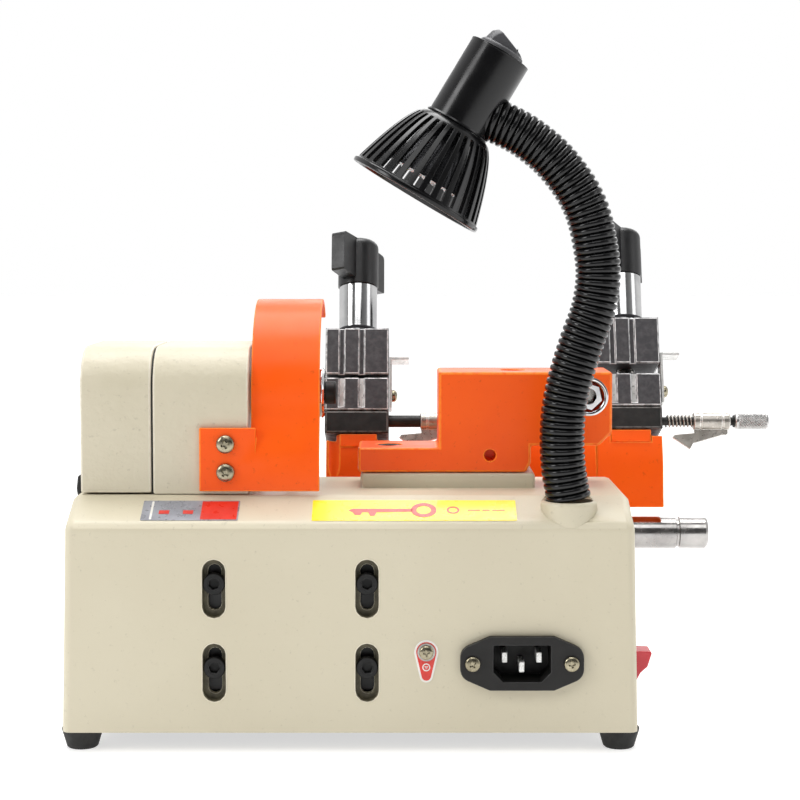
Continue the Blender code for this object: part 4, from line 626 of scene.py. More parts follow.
def make_drive():
    refined("spindle", TOOL_STEEL, 0.0003)
    refined("spindle_pulley", MOTOR_PAINT, 0.0004)
    refined("motor_rotor", TOOL_STEEL, 0.0003)
    refined("motor_body", MOTOR_PAINT, 0.0008)
    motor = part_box("motor_body")
    motor_z = 0.05035
    motor_y = 0.0438
    reach = Vector((SPINDLE_Y - motor_y, SPINDLE_Z - motor_z))
    bearing = math.atan2(reach.y, reach.x)
    lean = math.acos(0.003 / reach.length)

    def loop(radius_offset):
        line = []
        for centre, radius, start, end, steps in (
                ((SPINDLE_Y, SPINDLE_Z), 0.013, bearing - lean, bearing + lean, 24),
                ((motor_y, motor_z), 0.016, bearing + lean, bearing - lean + math.tau, 28)):
            for k in range(steps + 1):
                angle = start + (end - start) * k / steps
                line.append((centre[0] + (radius + radius_offset) * math.cos(angle),
                             centre[1] + (radius + radius_offset) * math.sin(angle)))
            if centre[0] == SPINDLE_Y:
                last = line[-1]
                nxt = (motor_y + (0.016 + radius_offset) * math.cos(bearing + lean),
                       motor_z + (0.016 + radius_offset) * math.sin(bearing + lean))
                line += [(last[0] + (nxt[0] - last[0]) * k / 8, last[1] + (nxt[1] - last[1]) * k / 8)
                         for k in range(1, 8)]
        first, last = line[0], line[-1]
        line += [(last[0] + (first[0] - last[0]) * k / 8, last[1] + (first[1] - last[1]) * k / 8)
                 for k in range(1, 8)]
        return line

    belt = bmesh.new()
    section = [(0.0006, -0.0030), (0.0036, -0.0039), (0.0036, 0.0039), (0.0006, 0.0030)]
    rings = [[belt.verts.new((y, z, PULLEY_X + along)) for y, z in loop(offset)] for offset,
             along in section]
    for k in range(4):
        one, two = rings[k], rings[(k + 1) % 4]
        for i in range(len(one)):
            j = (i + 1) % len(one)
            belt.faces.new((one[i], one[j], two[j], two[i]))
    piece = finished("v_belt", belt, "base", RUBBER, BASE @ SIDEWAYS, ("drive_belt",))
    piece.parent = None
    del piece["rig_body"]
    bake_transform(piece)

    for number in range(1, 5):
        box_low, box_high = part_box(f"motor_screw_{number}")
        middle = (box_low + box_high) / 2
        head = socket_head(0.0044, 0.0040, 0.0023, 0.0024, 0.0024, 0.0100)
        finished(f"motor_bolt_{number}", head, "motor", BLACK_OXIDE,
                 shift(middle.x, box_low.y + 0.0040, middle.z) @ ALONG["-Y"] @ turn(17 * number, "Z"),
                 (f"motor_screw_{number}",))


def make_cutter():
    at = BASE @ shift(0, SPINDLE_Y, SPINDLE_Z) @ ALONG["X"]
    teeth, half = 52, CUTTER_WIDTH / 2
    root = CUTTER_RADIUS - 0.0016

    def tooth(angle):
        return 1.0 + (CUTTER_RADIUS / root - 1.0) * ((angle / math.tau * teeth + 0.001) % 1.0)

    wheel = bmesh.new()
    rows = [(0.0053, -half, 0), (0.012, -half, 0), (root - 0.004, -half + 0.0002, 0), (root, -0.0006, 1),
            (root, 0.0006, 1), (root - 0.004, half - 0.0002, 0), (0.012, half, 0), (0.0053, half, 0)]
    sides = teeth * 4
    rings = []
    for r, z, cut in rows:
        ring = []
        for i in range(sides):
            angle = math.tau * i / sides
            reach = r * (tooth(angle) if cut else 1.0)
            ring.append(wheel.verts.new((reach * math.cos(angle), reach * math.sin(angle), CUTTER_X + z)))
        rings.append(ring)
    for k, one in enumerate(rings):
        two = rings[(k + 1) % len(rings)]
        for i in range(sides):
            j = (i + 1) % sides
            wheel.faces.new((one[i], one[j], two[j], two[i]))
    finished("milling_cutter", wheel, "spindle", TOOL_STEEL, at, ("cutter_wheel",), sharp=24)

    left, end = CUTTER_X + half + GAP, -0.0125
    profile = [(0.0056, left), (0.0088, left), (0.0108, left + 0.003), (0.0110, left + 0.0042),
               (0.0110, left + 0.0052),
               (0.0098, left + 0.0056), (0.0098, left + 0.0066), (0.0110, left + 0.0070),
               (0.0110, end - 0.001),
               (0.0101, end), (0.0029, end), (0.0029, CUTTER_X + half + 0.0045),
               (0.0056, CUTTER_X + half + 0.0045)]
    finished("arbor_nut", turned(profile, 64, hollow=True), "spindle", CHROME, at, ("cutter_nut",), 0.0002)
    bolt = socket_head(0.0050, 0.0048, 0.0028, 0.0030, 0.0025, 0.016)
    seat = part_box("cutter_bolt")[1].x - (BASE @ Vector((0, 0, 0))).x - 0.0049
    finished("arbor_bolt", bolt, "spindle", BLACK_OXIDE, at @ shift(0, 0, seat), ("cutter_bolt",))


def make_guard():
    refined("cutter_guard", ORANGE, 0.0005, 3)
    for name, z, angle in (("upper", 0.1243, 20), ("lower", 0.1126, 52)):
        finished(f"guard_cross_screw_{name}", cross_head(0.0038, 0.0023, 0.0018, 0.009), "base",
                 SCREW_STEEL,
                 BASE @ shift(-0.0517, 0.0185 - GAP, z) @ ALONG["-Y"] @ turn(angle, "Z"),
                 (f"guard_screw_{name}",))


def make_tracer():
    refined("tracer_block", ORANGE, 0.0005, 3)
    for side, x in (("left", 0.0156), ("right", 0.069)):
        seat = 0.1201 - 0.005 + GAP
        finished(f"block_cap_screw_{side}", socket_head(0.0050, 0.0044, 0.0028, 0.0026, 0.0032, 0.012),
                 "base",
                 BLACK_OXIDE, BASE @ shift(x, 0.058, seat), (f"block_bolt_{side}",))
    mouth = BASE @ shift(TRACER_X, BLOCK_REAR, SPINDLE_Z)
    ring = [(0.0066, 0.0004), (0.0069, -0.0002), (0.0078, -0.0003), (0.0083, 0.00005), (0.0082, 0.0004)]
    finished("counterbore_edge", turned(ring, 64, hollow=True), "base", CHROME, mouth @ ALONG["Y"],
             sharp=60)
    # a six-sided nut with a turned flange, bored through the middle
    nut = extruded(polygon(0.0061, 6, 0.3), 0.0012, 0.0044)
    nut = joined(nut, moved(turned([(0.0062, 0), (0.0062, 0.0013), (0.0058, 0.0013), (0.0058, 0)][::-1],
                                   48, True),
                            shift(0, 0, 0.0044)), "UNION")
    nut = joined(nut, turned([(0.0033, 0.0), (0.0033, 0.008)], 32))
    finished("adjuster_nut", nut, "stylus_nut", CHROME, mouth @ ALONG["Y"], ("tracer_nut",), 0.0002)
    tip = 0.0955 - BLOCK_REAR
    stylus = [(0, 0.0070), (0.0037, 0.0070), (0.0040, 0.0073), (0.0040, tip - 0.009),
              (0.0038, tip - 0.0086),
              (0.0014, tip - 0.001), (0.0008, tip), (0, tip)]
    finished("stylus_pin", turned(stylus, 48), "stylus", TOOL_STEEL, mouth @ ALONG["Y"],
             ("tracer_stylus",))


# ================================================================ labels
def make_labels():
    """Plain labels on the sloped band, with simple marks in place of any print."""
    band = BASE @ shift(0, 0.010, 0.09825) @ turn(25.4, "X")

    def sheet(name, outline, material, level, thickness=0.00012, place=band):
        finished(name, extruded(outline, level, level + thickness), "base", material, place)

    def rectangle(x0, x1, y0, y1, radius=0.0006):
        return rounded([(x0, y0), (x1, y0), (x1, y1), (x0, y1)], radius, 3)

    lift = 0.00003
    sheet("yellow_label", rectangle(-0.0155, 0.0678, -0.0080, 0.0070), YELLOW_FILM, lift)
    top = lift + 0.00013
    key = joined(turned([(0.0052, 0), (0.0052, 0.00008)], 48), turned([(0.0030, -1), (0.0030, 1)], 32))
    key = moved(key, shift(0.0300, -0.0004, 0))
    shaft = [(0.0255, -0.0016), (0.0255, 0.0006), (0.0010, 0.0006), (-0.0008, -0.0006), (0.0010, -0.0020),
             (0.0020, -0.0040), (0.0042, -0.0040), (0.0050, -0.0020), (0.0074, -0.0020), (0.0082, -0.0046),
             (0.0100, -0.0046), (0.0108, -0.0020)]
    finished("key_mark_bow", key, "base", RED_FILM, band @ shift(0, 0, top))
    sheet("key_mark_shaft", shaft, RED_FILM, top, 0.00008)
    ring = turned([(0.0018, 0), (0.0026, 0), (0.0026, 0.00008), (0.0018, 0.00008)], 40, True)
    finished("round_mark", ring, "base", RED_FILM, band @ shift(0.0420, -0.0004, top))
    for number, (x, wide) in enumerate(((0.0480, 0.0050), (0.0540, 0.0030), (0.0580, 0.0052))):
        sheet(f"line_mark_{number}", rectangle(x, x + wide, -0.0008, -0.0002, 0.0002), RED_FILM, top,
              0.00008)
    sheet("silver_label", rectangle(-0.0850, -0.0454, -0.0078, 0.0066), SILVER_FILM, lift)
    sheet("silver_label_patch", rectangle(-0.0608, -0.0460, -0.0072, 0.0060, 0.0003), RED_FILM, top,
          0.00008)
    for number, x in enumerate((-0.0780, -0.0682)):
        sheet(f"silver_label_bar_{number}", rectangle(x, x + 0.0042, -0.0032, -0.0006, 0.0003), RED_FILM,
              top,
              0.00008)
    sheet("silver_label_stripe", rectangle(-0.0815, -0.0806, -0.0072, 0.0060, 0.0003), WHITE_FILM, top,
          0.00008)

    # the earth point: a drop-shaped label and its screw
    wall = BASE @ shift(0.031, 0, 0.0417) @ ALONG["-Y"]

    def drop(big, small, length):
        line = []
        for k in range(17):
            angle = math.radians(-8 + 196 * k / 16)
            line.append((big * math.cos(angle), big * math.sin(angle)))
        for k in range(9):
            angle = math.radians(188 + 164 * k / 8)
            line.append((small * math.cos(angle), -length + small * math.sin(angle)))
        return line

    sheet("earth_label", drop(0.0049, 0.0027, 0.0098), WHITE_FILM, lift, 0.0002, wall)
    sheet("earth_label_red", drop(0.0041, 0.0019, 0.0098), RED_FILM, 0.00024, 0.0001, wall)
    ring = turned([(0.0012, 0), (0.0016, 0), (0.0016, 0.00008), (0.0012, 0.00008)], 32, True)
    finished("earth_ring", ring, "base", WHITE_FILM, wall @ shift(0, -0.0062, 0.00035))
    for number, (half_width, y) in enumerate(((0.0008, -0.0060), (0.00055, -0.00645), (0.0003, -0.0069))):
        sheet(f"earth_bar_{number}", rectangle(-half_width, half_width, y, y + 0.0002, 0.00005),
              WHITE_FILM, 0.00035,
              0.00008, wall)
    washer = turned([(0.0022, 0), (0.0036, 0), (0.0037, 0.0002), (0.0036, 0.0005), (0.0022, 0.0005)], 48,
                    True)
    finished("earth_washer", washer, "base", TOOL_STEEL, wall @ shift(0, 0, 0.0004))
    finished("earth_cross_screw", cross_head(0.0029, 0.0016, 0.0019, 0.008), "base", SCREW_STEEL,
             wall @ shift(0, 0, 0.0010) @ turn(8, "Z"))


# ================================================================ mains inlet and power switch
def make_electrics():
    face = -GAP - 0.0028
    corners = [(-0.013, -0.011), (0.013, -0.011), (0.0250, -0.0058), (0.0250, 0.0058),
               (0.013, 0.011), (-0.013, 0.011), (-0.0250, 0.0058), (-0.0250, -0.0058)]
    plate = extruded(rounded(corners, [0.002, 0.002, 0.0058, 0.0058] * 2, 8), 0.0003, 0.0031)
    shell = boxed((-0.01325, -0.00925, -0.0220), (0.01325, 0.00925, 0.0010))
    inlet = joined(plate, shell, "UNION")
    mouth = rounded([(-0.01165, -0.0035), (-0.0077, -0.0075), (0.0077, -0.0075), (0.01165, -0.0035),
                     (0.01165, 0.0075), (-0.01165, 0.0075)], 0.0006, 3)
    inlet = joined(inlet, extruded(mouth, -face - 0.0145, 0.01))
    for x in (-0.020, 0.020):
        inlet = joined(inlet, moved(extruded(polygon(0.0018, 24), -0.001, 0.01), shift(x)))
    finished("mains_inlet", inlet, "base", SOCKET_PLASTIC, BASE @ shift(INLET_X, 0, INLET_Z) @ ALONG["-Y"],
             ("power_inlet",), 0.00025)
    for number, (x, z) in enumerate(((-0.007, 0.002), (0.007, 0.002), (0, -0.002))):
        pin = rounded([(-0.00108, -0.00208), (0.00108, -0.00208), (0.00108, 0.00208),
                       (-0.00108, 0.00208)], 0.0003, 3)
        finished(f"inlet_pin_{number}", extruded(pin, 0, 0.0116), "base", PIN_METAL,
                 BASE @ shift(INLET_X + x, face + 0.0144, INLET_Z + z) @ ALONG["-Y"], bevel=0.0003)
    for side, sign, angle in (("left", -1, 35), ("right", 1, 10)):
        finished(f"inlet_cross_screw_{side}", cross_head(0.0031, 0.0016, 0.0015, 0.011), "base",
                 SCREW_STEEL,
                 BASE @ shift(INLET_X + sign * 0.020, face - GAP,
                              INLET_Z) @ ALONG["-Y"] @ turn(angle, "Z"),
                 (f"inlet_screw_{side}",))
    refined("power_switch_bezel", BLACK_PLASTIC, 0.0004)
    outline = [(-0.004, -0.0085), (0.0020, -0.0104), (0.0024, -0.0098), (0.0030, -0.0040),
               (0.0042, 0.0008),
               (0.0064, 0.0040), (0.0068, 0.0100), (0.0062, 0.0106), (-0.004, 0.0085)]
    rocker = moved(extruded(outline, -0.00575, 0.00575), UPRIGHT)
    finished("power_rocker_cap", rocker, "power_rocker", RED_PLASTIC, SWITCH, ("power_switch_rocker",),
             0.0004, 3)
    ring = turned([(0.0013, 0), (0.0018, 0), (0.0018, 0.0001), (0.0013, 0.0001)], 32, True)
    finished("rocker_ring", ring, "power_rocker", WHITE_FILM,
             SWITCH @ shift(0.00668, 0, 0.0068) @ turn(4, "Y") @ ALONG["X"])
    finished("rocker_bar", boxed((-0.0003, -0.0018, 0), (0.0003, 0.0018, 0.0001)), "power_rocker",
             WHITE_FILM,
             SWITCH @ shift(0.00278, 0, -0.0065) @ turn(6, "Y") @ ALONG["X"] @ turn(90, "Z"))


# ================================================================ lamp
def smooth_route(points, steps):
    padded = [points[0], *points, points[-1]]
    made = []
    for i in range(1, len(padded) - 2):
        p = padded[i - 1:i + 3]
        for step in range(steps):
            t = step / steps
            made.append(0.5 * (2 * p[1] + (p[2] - p[0]) * t + (2 * p[0] - 5 * p[1] + 4 * p[2] - p[3]) * t * t
                               + (3 * p[1] - p[0] - 3 * p[2] + p[3]) * t ** 3))
    return made + [points[-1]]


def make_gooseneck():
    """A corrugated sleeve: round rings with tight grooves between them."""
    fine = smooth_route([Vector((x, LAMP_Y, z)) for x, z in (*NECK_ROUTE, NECK_END)], 24)
    lengths = [0.0]
    for one, two in zip(fine, fine[1:]):
        lengths.append(lengths[-1] + (two - one).length)
    total, pitch, rows = lengths[-1], 0.00272, 8
    count = round(total / pitch)
    points, radii, j = [], [], 0
    for i in range(count * rows + 1):
        at = total * i / (count * rows)
        while j < len(lengths) - 2 and lengths[j + 1] < at:
            j += 1
        share = (at - lengths[j]) / max(lengths[j + 1] - lengths[j], 1e-9)
        points.append(fine[j].lerp(fine[j + 1], share))
        phase = (i % rows) / rows
        radii.append(0.00925 - 0.0013 * (1 - math.sqrt(max(0.0, 1 - (2 * phase - 1) ** 2))) ** 1.2)
    finished("corrugated_gooseneck", tube_along(points, lambda i: radii[i], 44), "lamp", NECK_PLASTIC,
             BASE, ("gooseneck",), sharp=75)


def make_lamp_head():
    length, radius = 0.034, 0.013
    profile = [(0.0, -length), (radius - 0.0004, -length), (radius, -length + 0.0004), (radius, -0.0008),
               (radius - 0.0003, -0.0002), (radius - 0.0008, 0), (0.0113, 0), (0.0109, -0.0004),
               (0.0106, -0.0012), (0.0106, -0.005), (0, -0.005)]
    body = turned(profile, 96)
    seam = boxed((-radius - 0.001, -0.00014, -length + 0.001), (-radius + 0.00035, 0.00014, 0.001))
    body = joined(body, moved(seam, turn(-55, "Z") @ turn(180, "Z") @ turn(180, "Z")))
    finished("lamp_housing", body, "lamp", GLOSS_BLACK, LAMP_HEAD, ("lamp_body",), sharp=28)
    rim = [(radius - 0.0007, 0), (radius + 0.00004, 0), (radius + 0.00004, -0.0009),
           (radius - 0.0007, -0.0009)]
    finished("housing_rim", turned(rim, 96, True), "lamp", GLOSS_BLACK, LAMP_HEAD, bevel=0.00015)
    # the joint between the housing and the shade
    neck = [(0.0121, -length - 0.0002), (radius + 0.0006, -length - 0.0001),
            (radius + 0.0009, -length + 0.0004),
            (radius + 0.0006, -length + 0.0010), (0.0121, -length + 0.0008)]
    finished("shade_clamp_ring", turned(neck, 96, True), "lamp", GLOSS_BLACK, LAMP_HEAD, sharp=50)

    disc = turned([(0, -0.0026), (0.0092, -0.0026), (0.0096, -0.0020), (0.0097, 0.0010), (0.0093, 0.0019),
                   (0.0086, 0.0022), (0, 0.0022)], 64)
    ridge = rounded([(-0.0086, 0.0010), (0.0088, 0.0010), (0.0084, 0.0026), (0.0030, 0.0046),
                     (-0.0030, 0.0068),
                     (-0.0051, 0.0073), (-0.0072, 0.0058)], 0.0012, 4)
    ridge = moved(extruded(ridge, -0.0066, 0.0066), UPRIGHT)
    bell = turned([(0, -0.001), (0.0087, -0.001), (0.0087, 0.003), (0.0080, 0.0055), (0.0062, 0.0085),
                   (0, 0.009)], 64)
    ridge = joined(ridge, bell, "INTERSECT")
    finished("lamp_rocker_cap", joined(disc, ridge, "UNION"), "lamp_rocker", ROCKER_GREY, LAMP_HEAD,
             ("lamp_switch",), 0.0003, 3)


def bell_radius(share):
    return 0.014 + (0.0285 - 0.014) * share ** 0.62


def make_shade():
    """A bell of thin upright ribs between a top ring and a rim ring, open between the ribs."""
    top, length, wall, ribs = -0.0343, 0.033, 0.0020, 32
    rows = [0.0, 0.03, 0.07] + [0.07 + 0.84 * ((k / 16) ** 0.9) for k in range(1, 17)] + [0.955, 1.0]
    last_open = rows.index(0.955) - 2
    shape = bmesh.new()
    # each rib takes one of the two steps round its pitch
    steps = (0.0, 0.5)
    grids = []
    for inset in (0.0, wall):
        grid = []
        for share in rows:
            slope = (bell_radius(min(share + 0.01, 1)) - bell_radius(max(share - 0.01, 0))) / (
                length * (min(share + 0.01, 1) - max(share - 0.01, 0)))
            normal = Vector((1, slope)).normalized()
            r = bell_radius(share) - inset * normal.x
            z = top - length * share - inset * normal.y * (0.0 if share in (0.0, 1.0) else 1.0)
            ring = []
            for rib in range(ribs):
                for step in steps:
                    angle = math.tau * (rib + step) / ribs
                    ring.append(shape.verts.new((r * math.cos(angle), r * math.sin(angle), z)))
            grid.append(ring)
        grids.append(grid)
    outer, inner = grids
    count = 2 * ribs

    def solid(row, k):
        return row < 2 or row > last_open or k % 2 == 0

    for row in range(len(rows) - 1):
        for k in range(count):
            m = (k + 1) % count
            if solid(row, k):
                for grid in grids:
                    shape.faces.new((grid[row][k], grid[row][m], grid[row + 1][m], grid[row + 1][k]))
                if not solid(row, m):
                    shape.faces.new((outer[row][m], inner[row][m], inner[row + 1][m], outer[row + 1][m]))
                if not solid(row, k - 1):
                    shape.faces.new((outer[row][k], inner[row][k], inner[row + 1][k], outer[row + 1][k]))
    for row in range(len(rows)):
        for k in range(count):
            m = (k + 1) % count
            above = row > 0 and solid(row - 1, k)
            below = row < len(rows) - 1 and solid(row, k)
            if above != below:
                shape.faces.new((outer[row][k], outer[row][m], inner[row][m], inner[row][k]))
    finished("ribbed_shade", shape, "lamp", GLOSS_BLACK, LAMP_HEAD, ("lamp_shade",), 0.00022, 2, 40)
    edge = top - length
    rim = [(0.0266, edge + 0.0022), (0.0286, edge + 0.0022), (0.0289, edge + 0.0014),
           (0.0288, edge + 0.0003),
           (0.0284, edge), (0.0268, edge)]
    finished("shade_rim", turned(rim, 128, True), "lamp", GLOSS_BLACK, LAMP_HEAD, bevel=0.0002)

    # the module's cup is kept dark: partly its own housing, partly painted shade inside the shade
    cup = [(0.0060, top - 0.0002), (0.0082, top - 0.004), (0.0128, top - 0.013), (0.0162, top - 0.0205),
           (0.0172, top - 0.0245), (0.0164, top - 0.0245), (0.0120, top - 0.0135), (0.0074, top - 0.005),
           (0.0050, top - 0.0020)]
    finished("lamp_reflector", turned(cup, 96, True), "lamp", REFLECTOR, LAMP_HEAD, ("lamp_bulb",),
             sharp=12)
    for ring, (count, radius) in enumerate(((1, 0.0), (6, 0.0078), (10, 0.0128))):
        for number in range(count):
            angle = math.tau * (number + 0.5 * ring) / count
            dome = [(0, -0.0012)] + [(0.0024 * math.sin(math.radians(a)), -0.0012 + 0.0024 * (1 - math.cos(
                math.radians(a))) * 0.8) for a in (25, 50, 70, 90)] + [(0.0024, 0.0016), (0, 0.0016)]
            finished(f"lens_{ring}_{number}", turned(dome, 24), "lamp", LENS,
                     LAMP_HEAD @ shift(radius * math.cos(angle), radius * math.sin(angle), top - 0.0238),
                     sharp=50)
    plate = [(0, top - 0.0222), (0.0164, top - 0.0222), (0.0164, top - 0.0229), (0, top - 0.0229)]
    finished("lens_plate", turned(plate, 64), "lamp", WHITE_FILM, LAMP_HEAD, bevel=0.0002)


# ================================================================ carriage
def make_carriage():
    refined("carriage", ORANGE, 0.0006, 3)
    x0, x1 = -0.118, 0.164
    groove = 0.150
    profile = [(0.0050, x0 + 0.0008), (0.0056, x0), (0.0066, x0), (0.0075, x0 + 0.0011),
               (0.0075, groove - 0.0009),
               (0.0067, groove - 0.0005), (0.0067, groove + 0.0005), (0.0075, groove + 0.0009),
               (0.0075, x1 - 0.0012), (0.0064, x1), (0.0050, x1), (0.0046, x1 - 0.0006)]
    finished("sliding_shaft", turned(profile, 72), "shaft", TURNED_STEEL,
             BASE @ shift(0, 0.119, 0.072) @ ALONG["X"], ("carriage_shaft",))

    lean = math.tan(math.radians(10)) * 0.0075 + GAP
    collar = [(0.0073, lean), (0.0075, lean + 0.0004), (0.0075, lean + 0.0036), (0.0070, lean + 0.0044),
              (0.0050, lean + 0.0048), (0.0048, lean + 0.0052), (0.0048, 0.044), (0.0040, 0.046),
              (0.0040, 0.055)]
    finished("handle_rod", turned(collar, 56), "carriage", CHROME, HANDLE @ ALONG["Y"],
             ("carriage_handle",))
    centre, ball = 0.063, 0.011
    grip = [(0.0046, 0.0430), (0.0062, 0.0432), (0.0068, 0.0440), (0.0066, 0.0480), (0.0064, 0.0530)]
    start = math.degrees(math.acos(0.0064 / ball))
    for k in range(1, 17):
        angle = math.radians(-start + (90 + start) * k / 16)
        grip.append((ball * math.cos(angle) if k < 16 else 0, centre + ball * math.sin(angle)))
    finished("handle_ball", turned(grip, 56), "carriage", BLACK_PLASTIC, HANDLE @ ALONG["Y"], sharp=50)


def jaw_levels(side):
    middle, seat, opening = VISES[side]
    block_top = seat + GAP + 0.0108
    low_jaw = (block_top + GAP, block_top + GAP + 0.016)
    return middle, seat, low_jaw, (low_jaw[1] + opening, low_jaw[1] + opening + 0.0228)


def make_vise(side):
    middle, seat, low_jaw, high_jaw = jaw_levels(side)
    back = CARRIAGE.inverted()

    def in_groove(point):
        local = back @ point
        return local.y < -0.0131 and min(abs(local.x - middle + 0.0072),
                                         abs(local.x - middle - 0.0022)) < 0.00125

    refined(f"vise_block_{side}", BLACKENED, 0.0005)
    refined(f"lower_jaw_{side}", VISE_STEEL, 0.0004, more=(BRIGHT_STEEL,), pick=in_groove)
    refined(f"upper_jaw_{side}", VISE_STEEL, 0.0004)
    refined(f"stop_plate_{side}", BRIGHT_STEEL, 0.0002)
    face = middle + 0.015 + GAP + 0.0012
    finished(f"stop_plate_screw_{side}", cross_head(0.0029, 0.0026, 0.0014, 0.0011), "carriage",
             SCREW_STEEL,
             CARRIAGE @ shift(face, -0.0085, low_jaw[0] + 0.0085) @ ALONG["X"])

    stud_top = high_jaw[1] + 0.031
    bottom = seat + GAP + 0.004 + GAP
    thread = [(0.0034, bottom), (0.0039, bottom + 0.0006)]
    z = bottom + 0.001
    while z < stud_top - 0.002:
        thread += [(0.0039, z), (0.0035, z + 0.0006)]
        z += 0.00125
    thread += [(0.0039, stud_top - 0.0012), (0.0030, stud_top)]
    finished(f"threaded_stud_{side}", turned(thread, 32), "carriage", TOOL_STEEL, CARRIAGE @ shift(middle),
             (f"clamp_stud_{side}",), sharp=60)

    # the chrome sleeve, bored for the stud, and the moulded knob with its two wings
    bore = 0.0044
    sleeve = [(bore, 0.0004), (bore + 0.0005, 0), (0.0068, 0), (0.0072, 0.0003), (0.0072, 0.0022),
              (0.0080, 0.0024),
              (0.0092, 0.0032), (0.0092, 0.0243), (0.0088, 0.0247), (bore, 0.0247)]
    place = knob_frame(side)
    finished(f"clamp_sleeve_{side}", turned(sleeve, 72, True), f"knob_{side}", CHROME, place, sharp=40)
    hub_top, room = 0.0487, 0.0364
    hub = [(bore, 0.0248), (0.0096, 0.0248), (0.0098, 0.0251), (0.0098, hub_top - 0.004)]
    hub += [(0.0098 - 0.0045 * (1 - math.cos(math.radians(a))),
             hub_top - 0.004 + 0.004 * math.sin(math.radians(a)))
            for a in (15, 30, 45, 60, 75, 90)]
    hub += [(0.0030, hub_top), (0.0026, hub_top - 0.0003), (0, hub_top - 0.0003)]
    hub = [(0, room), (bore, room)] + hub
    shape = turned(hub, 64)
    wing_top, wing_bottom, half = hub_top - 0.001, hub_top - 0.0215, 0.0215
    outline = rounded(
        [(-half, wing_bottom + 0.0006), (-0.0094, wing_bottom), (0.0094, wing_bottom),
         (half, wing_bottom + 0.0006),
         (half, wing_top - 0.0006), (0.0085, wing_top), (-0.0085, wing_top), (-half, wing_top - 0.0006)],
        [0.0012, 0.004, 0.004, 0.0012, 0.0022, 0.004, 0.004, 0.0022], 4)
    wings = moved(extruded(outline, -0.0034, 0.0034), UPRIGHT)
    bmesh.ops.bevel(wings, geom=[e for e in wings.edges if abs(e.calc_face_angle(0)) > 1.2], offset=0.0009,
                    segments=3, profile=0.6, affect="EDGES")
    wings = joined(wings, turned([(0.0070, wing_bottom - 0.001), (0.0070, hub_top + 0.001)], 32))
    finished(f"wing_grip_{side}", joined(shape, wings, "UNION"), f"knob_{side}", BLACK_PLASTIC, place,
             (f"wing_knob_{side}",), sharp=34)


def make_gauge():
    at = CARRIAGE @ shift(0, GAUGE_V, GAUGE_W) @ ALONG["X"]
    start = 0.1285 + 0.0299
    end = start + 0.0174
    rod = [(0.0023, -0.013), (0.00285, -0.0124), (0.00285, 0.0516), (0.0020, 0.0520),
           (0.0020, end + 0.0016),
           (0.0029, end + 0.0016), (0.0029, end + 0.0022)]
    finished("gauge_bar", turned(rod, 36), "gauge_rod", BLACKENED, at, ("gauge_rod",))
    knob0, knob1 = end + 0.0022, end + 0.0180
    rows, sides = 90, 120

    def diamond(angle, z):
        if not knob0 + 0.0016 < z < knob1 - 0.0012:
            return 1.0
        turns = 20 * angle / math.tau
        across = (z - knob0) / 0.00130
        relief = abs(math.sin(math.pi * (turns + across))) * abs(math.sin(math.pi * (turns - across)))
        return 1.0 - 0.13 * (1 - relief) ** 2

    profile = [(0.0021, knob0), (0.0030, knob0), (0.0035, knob0 + 0.0004)]
    profile += [(0.00365, knob0 + 0.0008 + (knob1 - knob0 - 0.0016) * k / rows) for k in range(rows + 1)]
    profile += [(0.0034, knob1 - 0.0003), (0.0029, knob1), (0.0, knob1)]
    profile.insert(0, (0.0, knob0))
    finished("knurled_knob", turned(profile, sides, wobble=diamond), "gauge_rod", KNURL_STEEL, at,
             sharp=55)

    # the spring between the right vise and its finger
    low = 0.1285 + 0.015 + 0.0012 + 2 * GAP
    turns, wire, reach = 7.0, 0.00040, 0.00262
    span = start - GAP - low - 2 * wire
    count = int(turns * 28)
    points = []
    for i in range(count + 1):
        angle = math.tau * turns * i / count
        points.append(Vector((reach * math.cos(angle), reach * math.sin(angle),
                              low + wire + span * i / count)))
    coil = tube_along(points, lambda i: wire, 10, (0, 0, 1))
    piece = finished("coil_spring", coil, "carriage", NICKEL, at, ("gauge_spring",), sharp=70)
    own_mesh(piece)

    for side, body in (("left", "finger_left"), ("right", "finger_right")):
        begin = VISES[side][0] + 0.0299
        bore = (0.0030 if side == "left" else 0.0020) + GAP
        sleeve = [(bore, begin), (0.0036, begin), (0.0042, begin + 0.0005), (0.0042, begin + 0.0030),
                  (0.0039, begin + 0.0032), (0.0039, begin + 0.0038), (0.0042, begin + 0.0040),
                  (0.0042, begin + 0.0132), (0.0039, begin + 0.0134), (0.0039, begin + 0.0140),
                  (0.0042, begin + 0.0142), (0.0042, begin + 0.0169), (0.0037, begin + 0.0174),
                  (bore, begin + 0.0174)]
        shape = turned(sleeve, 56, True)
        teeth = [(0.0162 - 0.00165 * k / 2, -0.0061 - (0.0007 if k % 2 else 0.0)) for k in range(0, 15)]
        flag = [(0.0004, -0.0034), (0.0162, -0.0034)] + teeth[:2] + [(0.0134, -0.0068), (0.0010, -0.0105),
                (-0.0003, -0.0108), (-0.0018, -0.0137), (-0.0100, -0.0080), (-0.0090, -0.0066),
                (0.0004, -0.0058)]
        flag = extruded([(begin + x, z) for x, z in flag], -0.0008, 0.0008)
        # the flag hangs below the sleeve: local X is -Z of the carriage and local Z is its X
        upright = Matrix(((0, -1, 0, 0), (0, 0, 1, 0), (1, 0, 0, 0), (0, 0, 0, 1)))
        shape = joined(shape, moved(flag, upright), "UNION")
        finished(f"stop_finger_{side}", shape, body, NICKEL, at, (f"gauge_finger_{side}",), 0.0002, 2, 40)


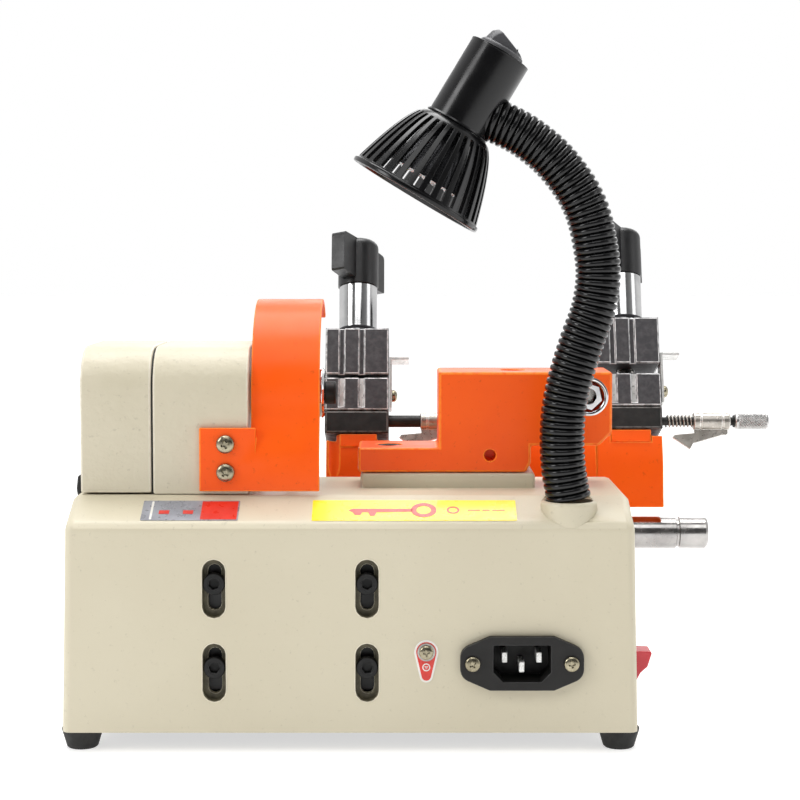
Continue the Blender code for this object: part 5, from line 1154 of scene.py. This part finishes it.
# ================================================================ camera, light and floor
def make_studio():
    scene = bpy.context.scene
    scene.view_settings.view_transform = "Standard"
    world = bpy.data.worlds.new("studio")
    scene.world = world
    world.use_nodes = True
    tree = world.node_tree
    background = tree.nodes["Background"]
    place = tree.nodes.new("ShaderNodeTexCoord")
    apart = tree.nodes.new("ShaderNodeSeparateXYZ")
    tree.links.new(place.outputs["Generated"], apart.inputs[0])
    ahead = spread(tree, apart.outputs["Y"], -0.8, 0.3, 0.10, 0.8)
    seen = tree.nodes.new("ShaderNodeLightPath")
    plain = tree.nodes.new("ShaderNodeMix")
    tree.links.new(seen.outputs["Is Camera Ray"], plain.inputs[0])
    tree.links.new(ahead, plain.inputs[2])
    plain.inputs[3].default_value = 1.0
    tree.links.new(plain.outputs[0], background.inputs["Strength"])
    background.inputs["Color"].default_value = (1, 1, 1, 1)

    bpy.ops.mesh.primitive_plane_add(size=14, location=(0, 0, 0))
    floor = bpy.context.object
    floor.name = "floor"
    pale = bpy.data.materials.new("pale_floor")
    pale.use_nodes = True
    shader = pale.node_tree.nodes["Principled BSDF"]
    shader.inputs["Base Color"].default_value = (0.62, 0.62, 0.62, 1)
    shader.inputs["Roughness"].default_value = 0.6
    shader.inputs["Emission Color"].default_value = (1, 1, 1, 1)
    shader.inputs["Emission Strength"].default_value = 0.62
    floor.data.materials.append(pale)

    def softbox(name, location, size, power, target=(0, -0.02, 0.12)):
        light = bpy.data.lights.new(name, "AREA")
        light.shape, light.size, light.size_y, light.energy = "RECTANGLE", *size, power
        made = bpy.data.objects.new(name, light)
        made.location = location
        made.rotation_euler = (Vector(target) - Vector(location)).to_track_quat("-Z", "Y").to_euler()
        scene.collection.objects.link(made)

    softbox("top_front", (0.0, -0.95, 1.35), (1.0, 0.7), 4.7)
    softbox("top", (-0.1, 0.15, 1.35), (1.1, 0.8), 17)
    softbox("left", (-1.2, -0.75, 0.85), (0.5, 0.7), 7, (0.02, -0.09, 0.25))
    softbox("right", (1.45, -0.35, 0.45), (0.5, 1.2), 2.5)
    softbox("behind", (0.3, 1.4, 0.9), (1.4, 0.8), 6)

    data = bpy.data.cameras.new("camera")
    data.sensor_width, data.lens, data.shift_y = 36.0, 82.5, -0.05
    data.clip_start, data.clip_end = 0.01, 50
    camera = bpy.data.objects.new("camera", data)
    origin = BASE @ Vector((0, 0, 0))
    camera.location = (origin.x + 0.02034, origin.y - 0.73425, 0.20527)
    camera.rotation_euler = (math.radians(90 - 3.508), 0, 0)
    scene.collection.objects.link(camera)
    scene.camera = camera


make_studio()
make_base()
make_headstock()
make_drive()
make_cutter()
make_guard()
make_tracer()
make_labels()
make_electrics()
make_gooseneck()
make_lamp_head()
make_shade()
make_carriage()
for vise in VISES:
    make_vise(vise)
make_gauge()
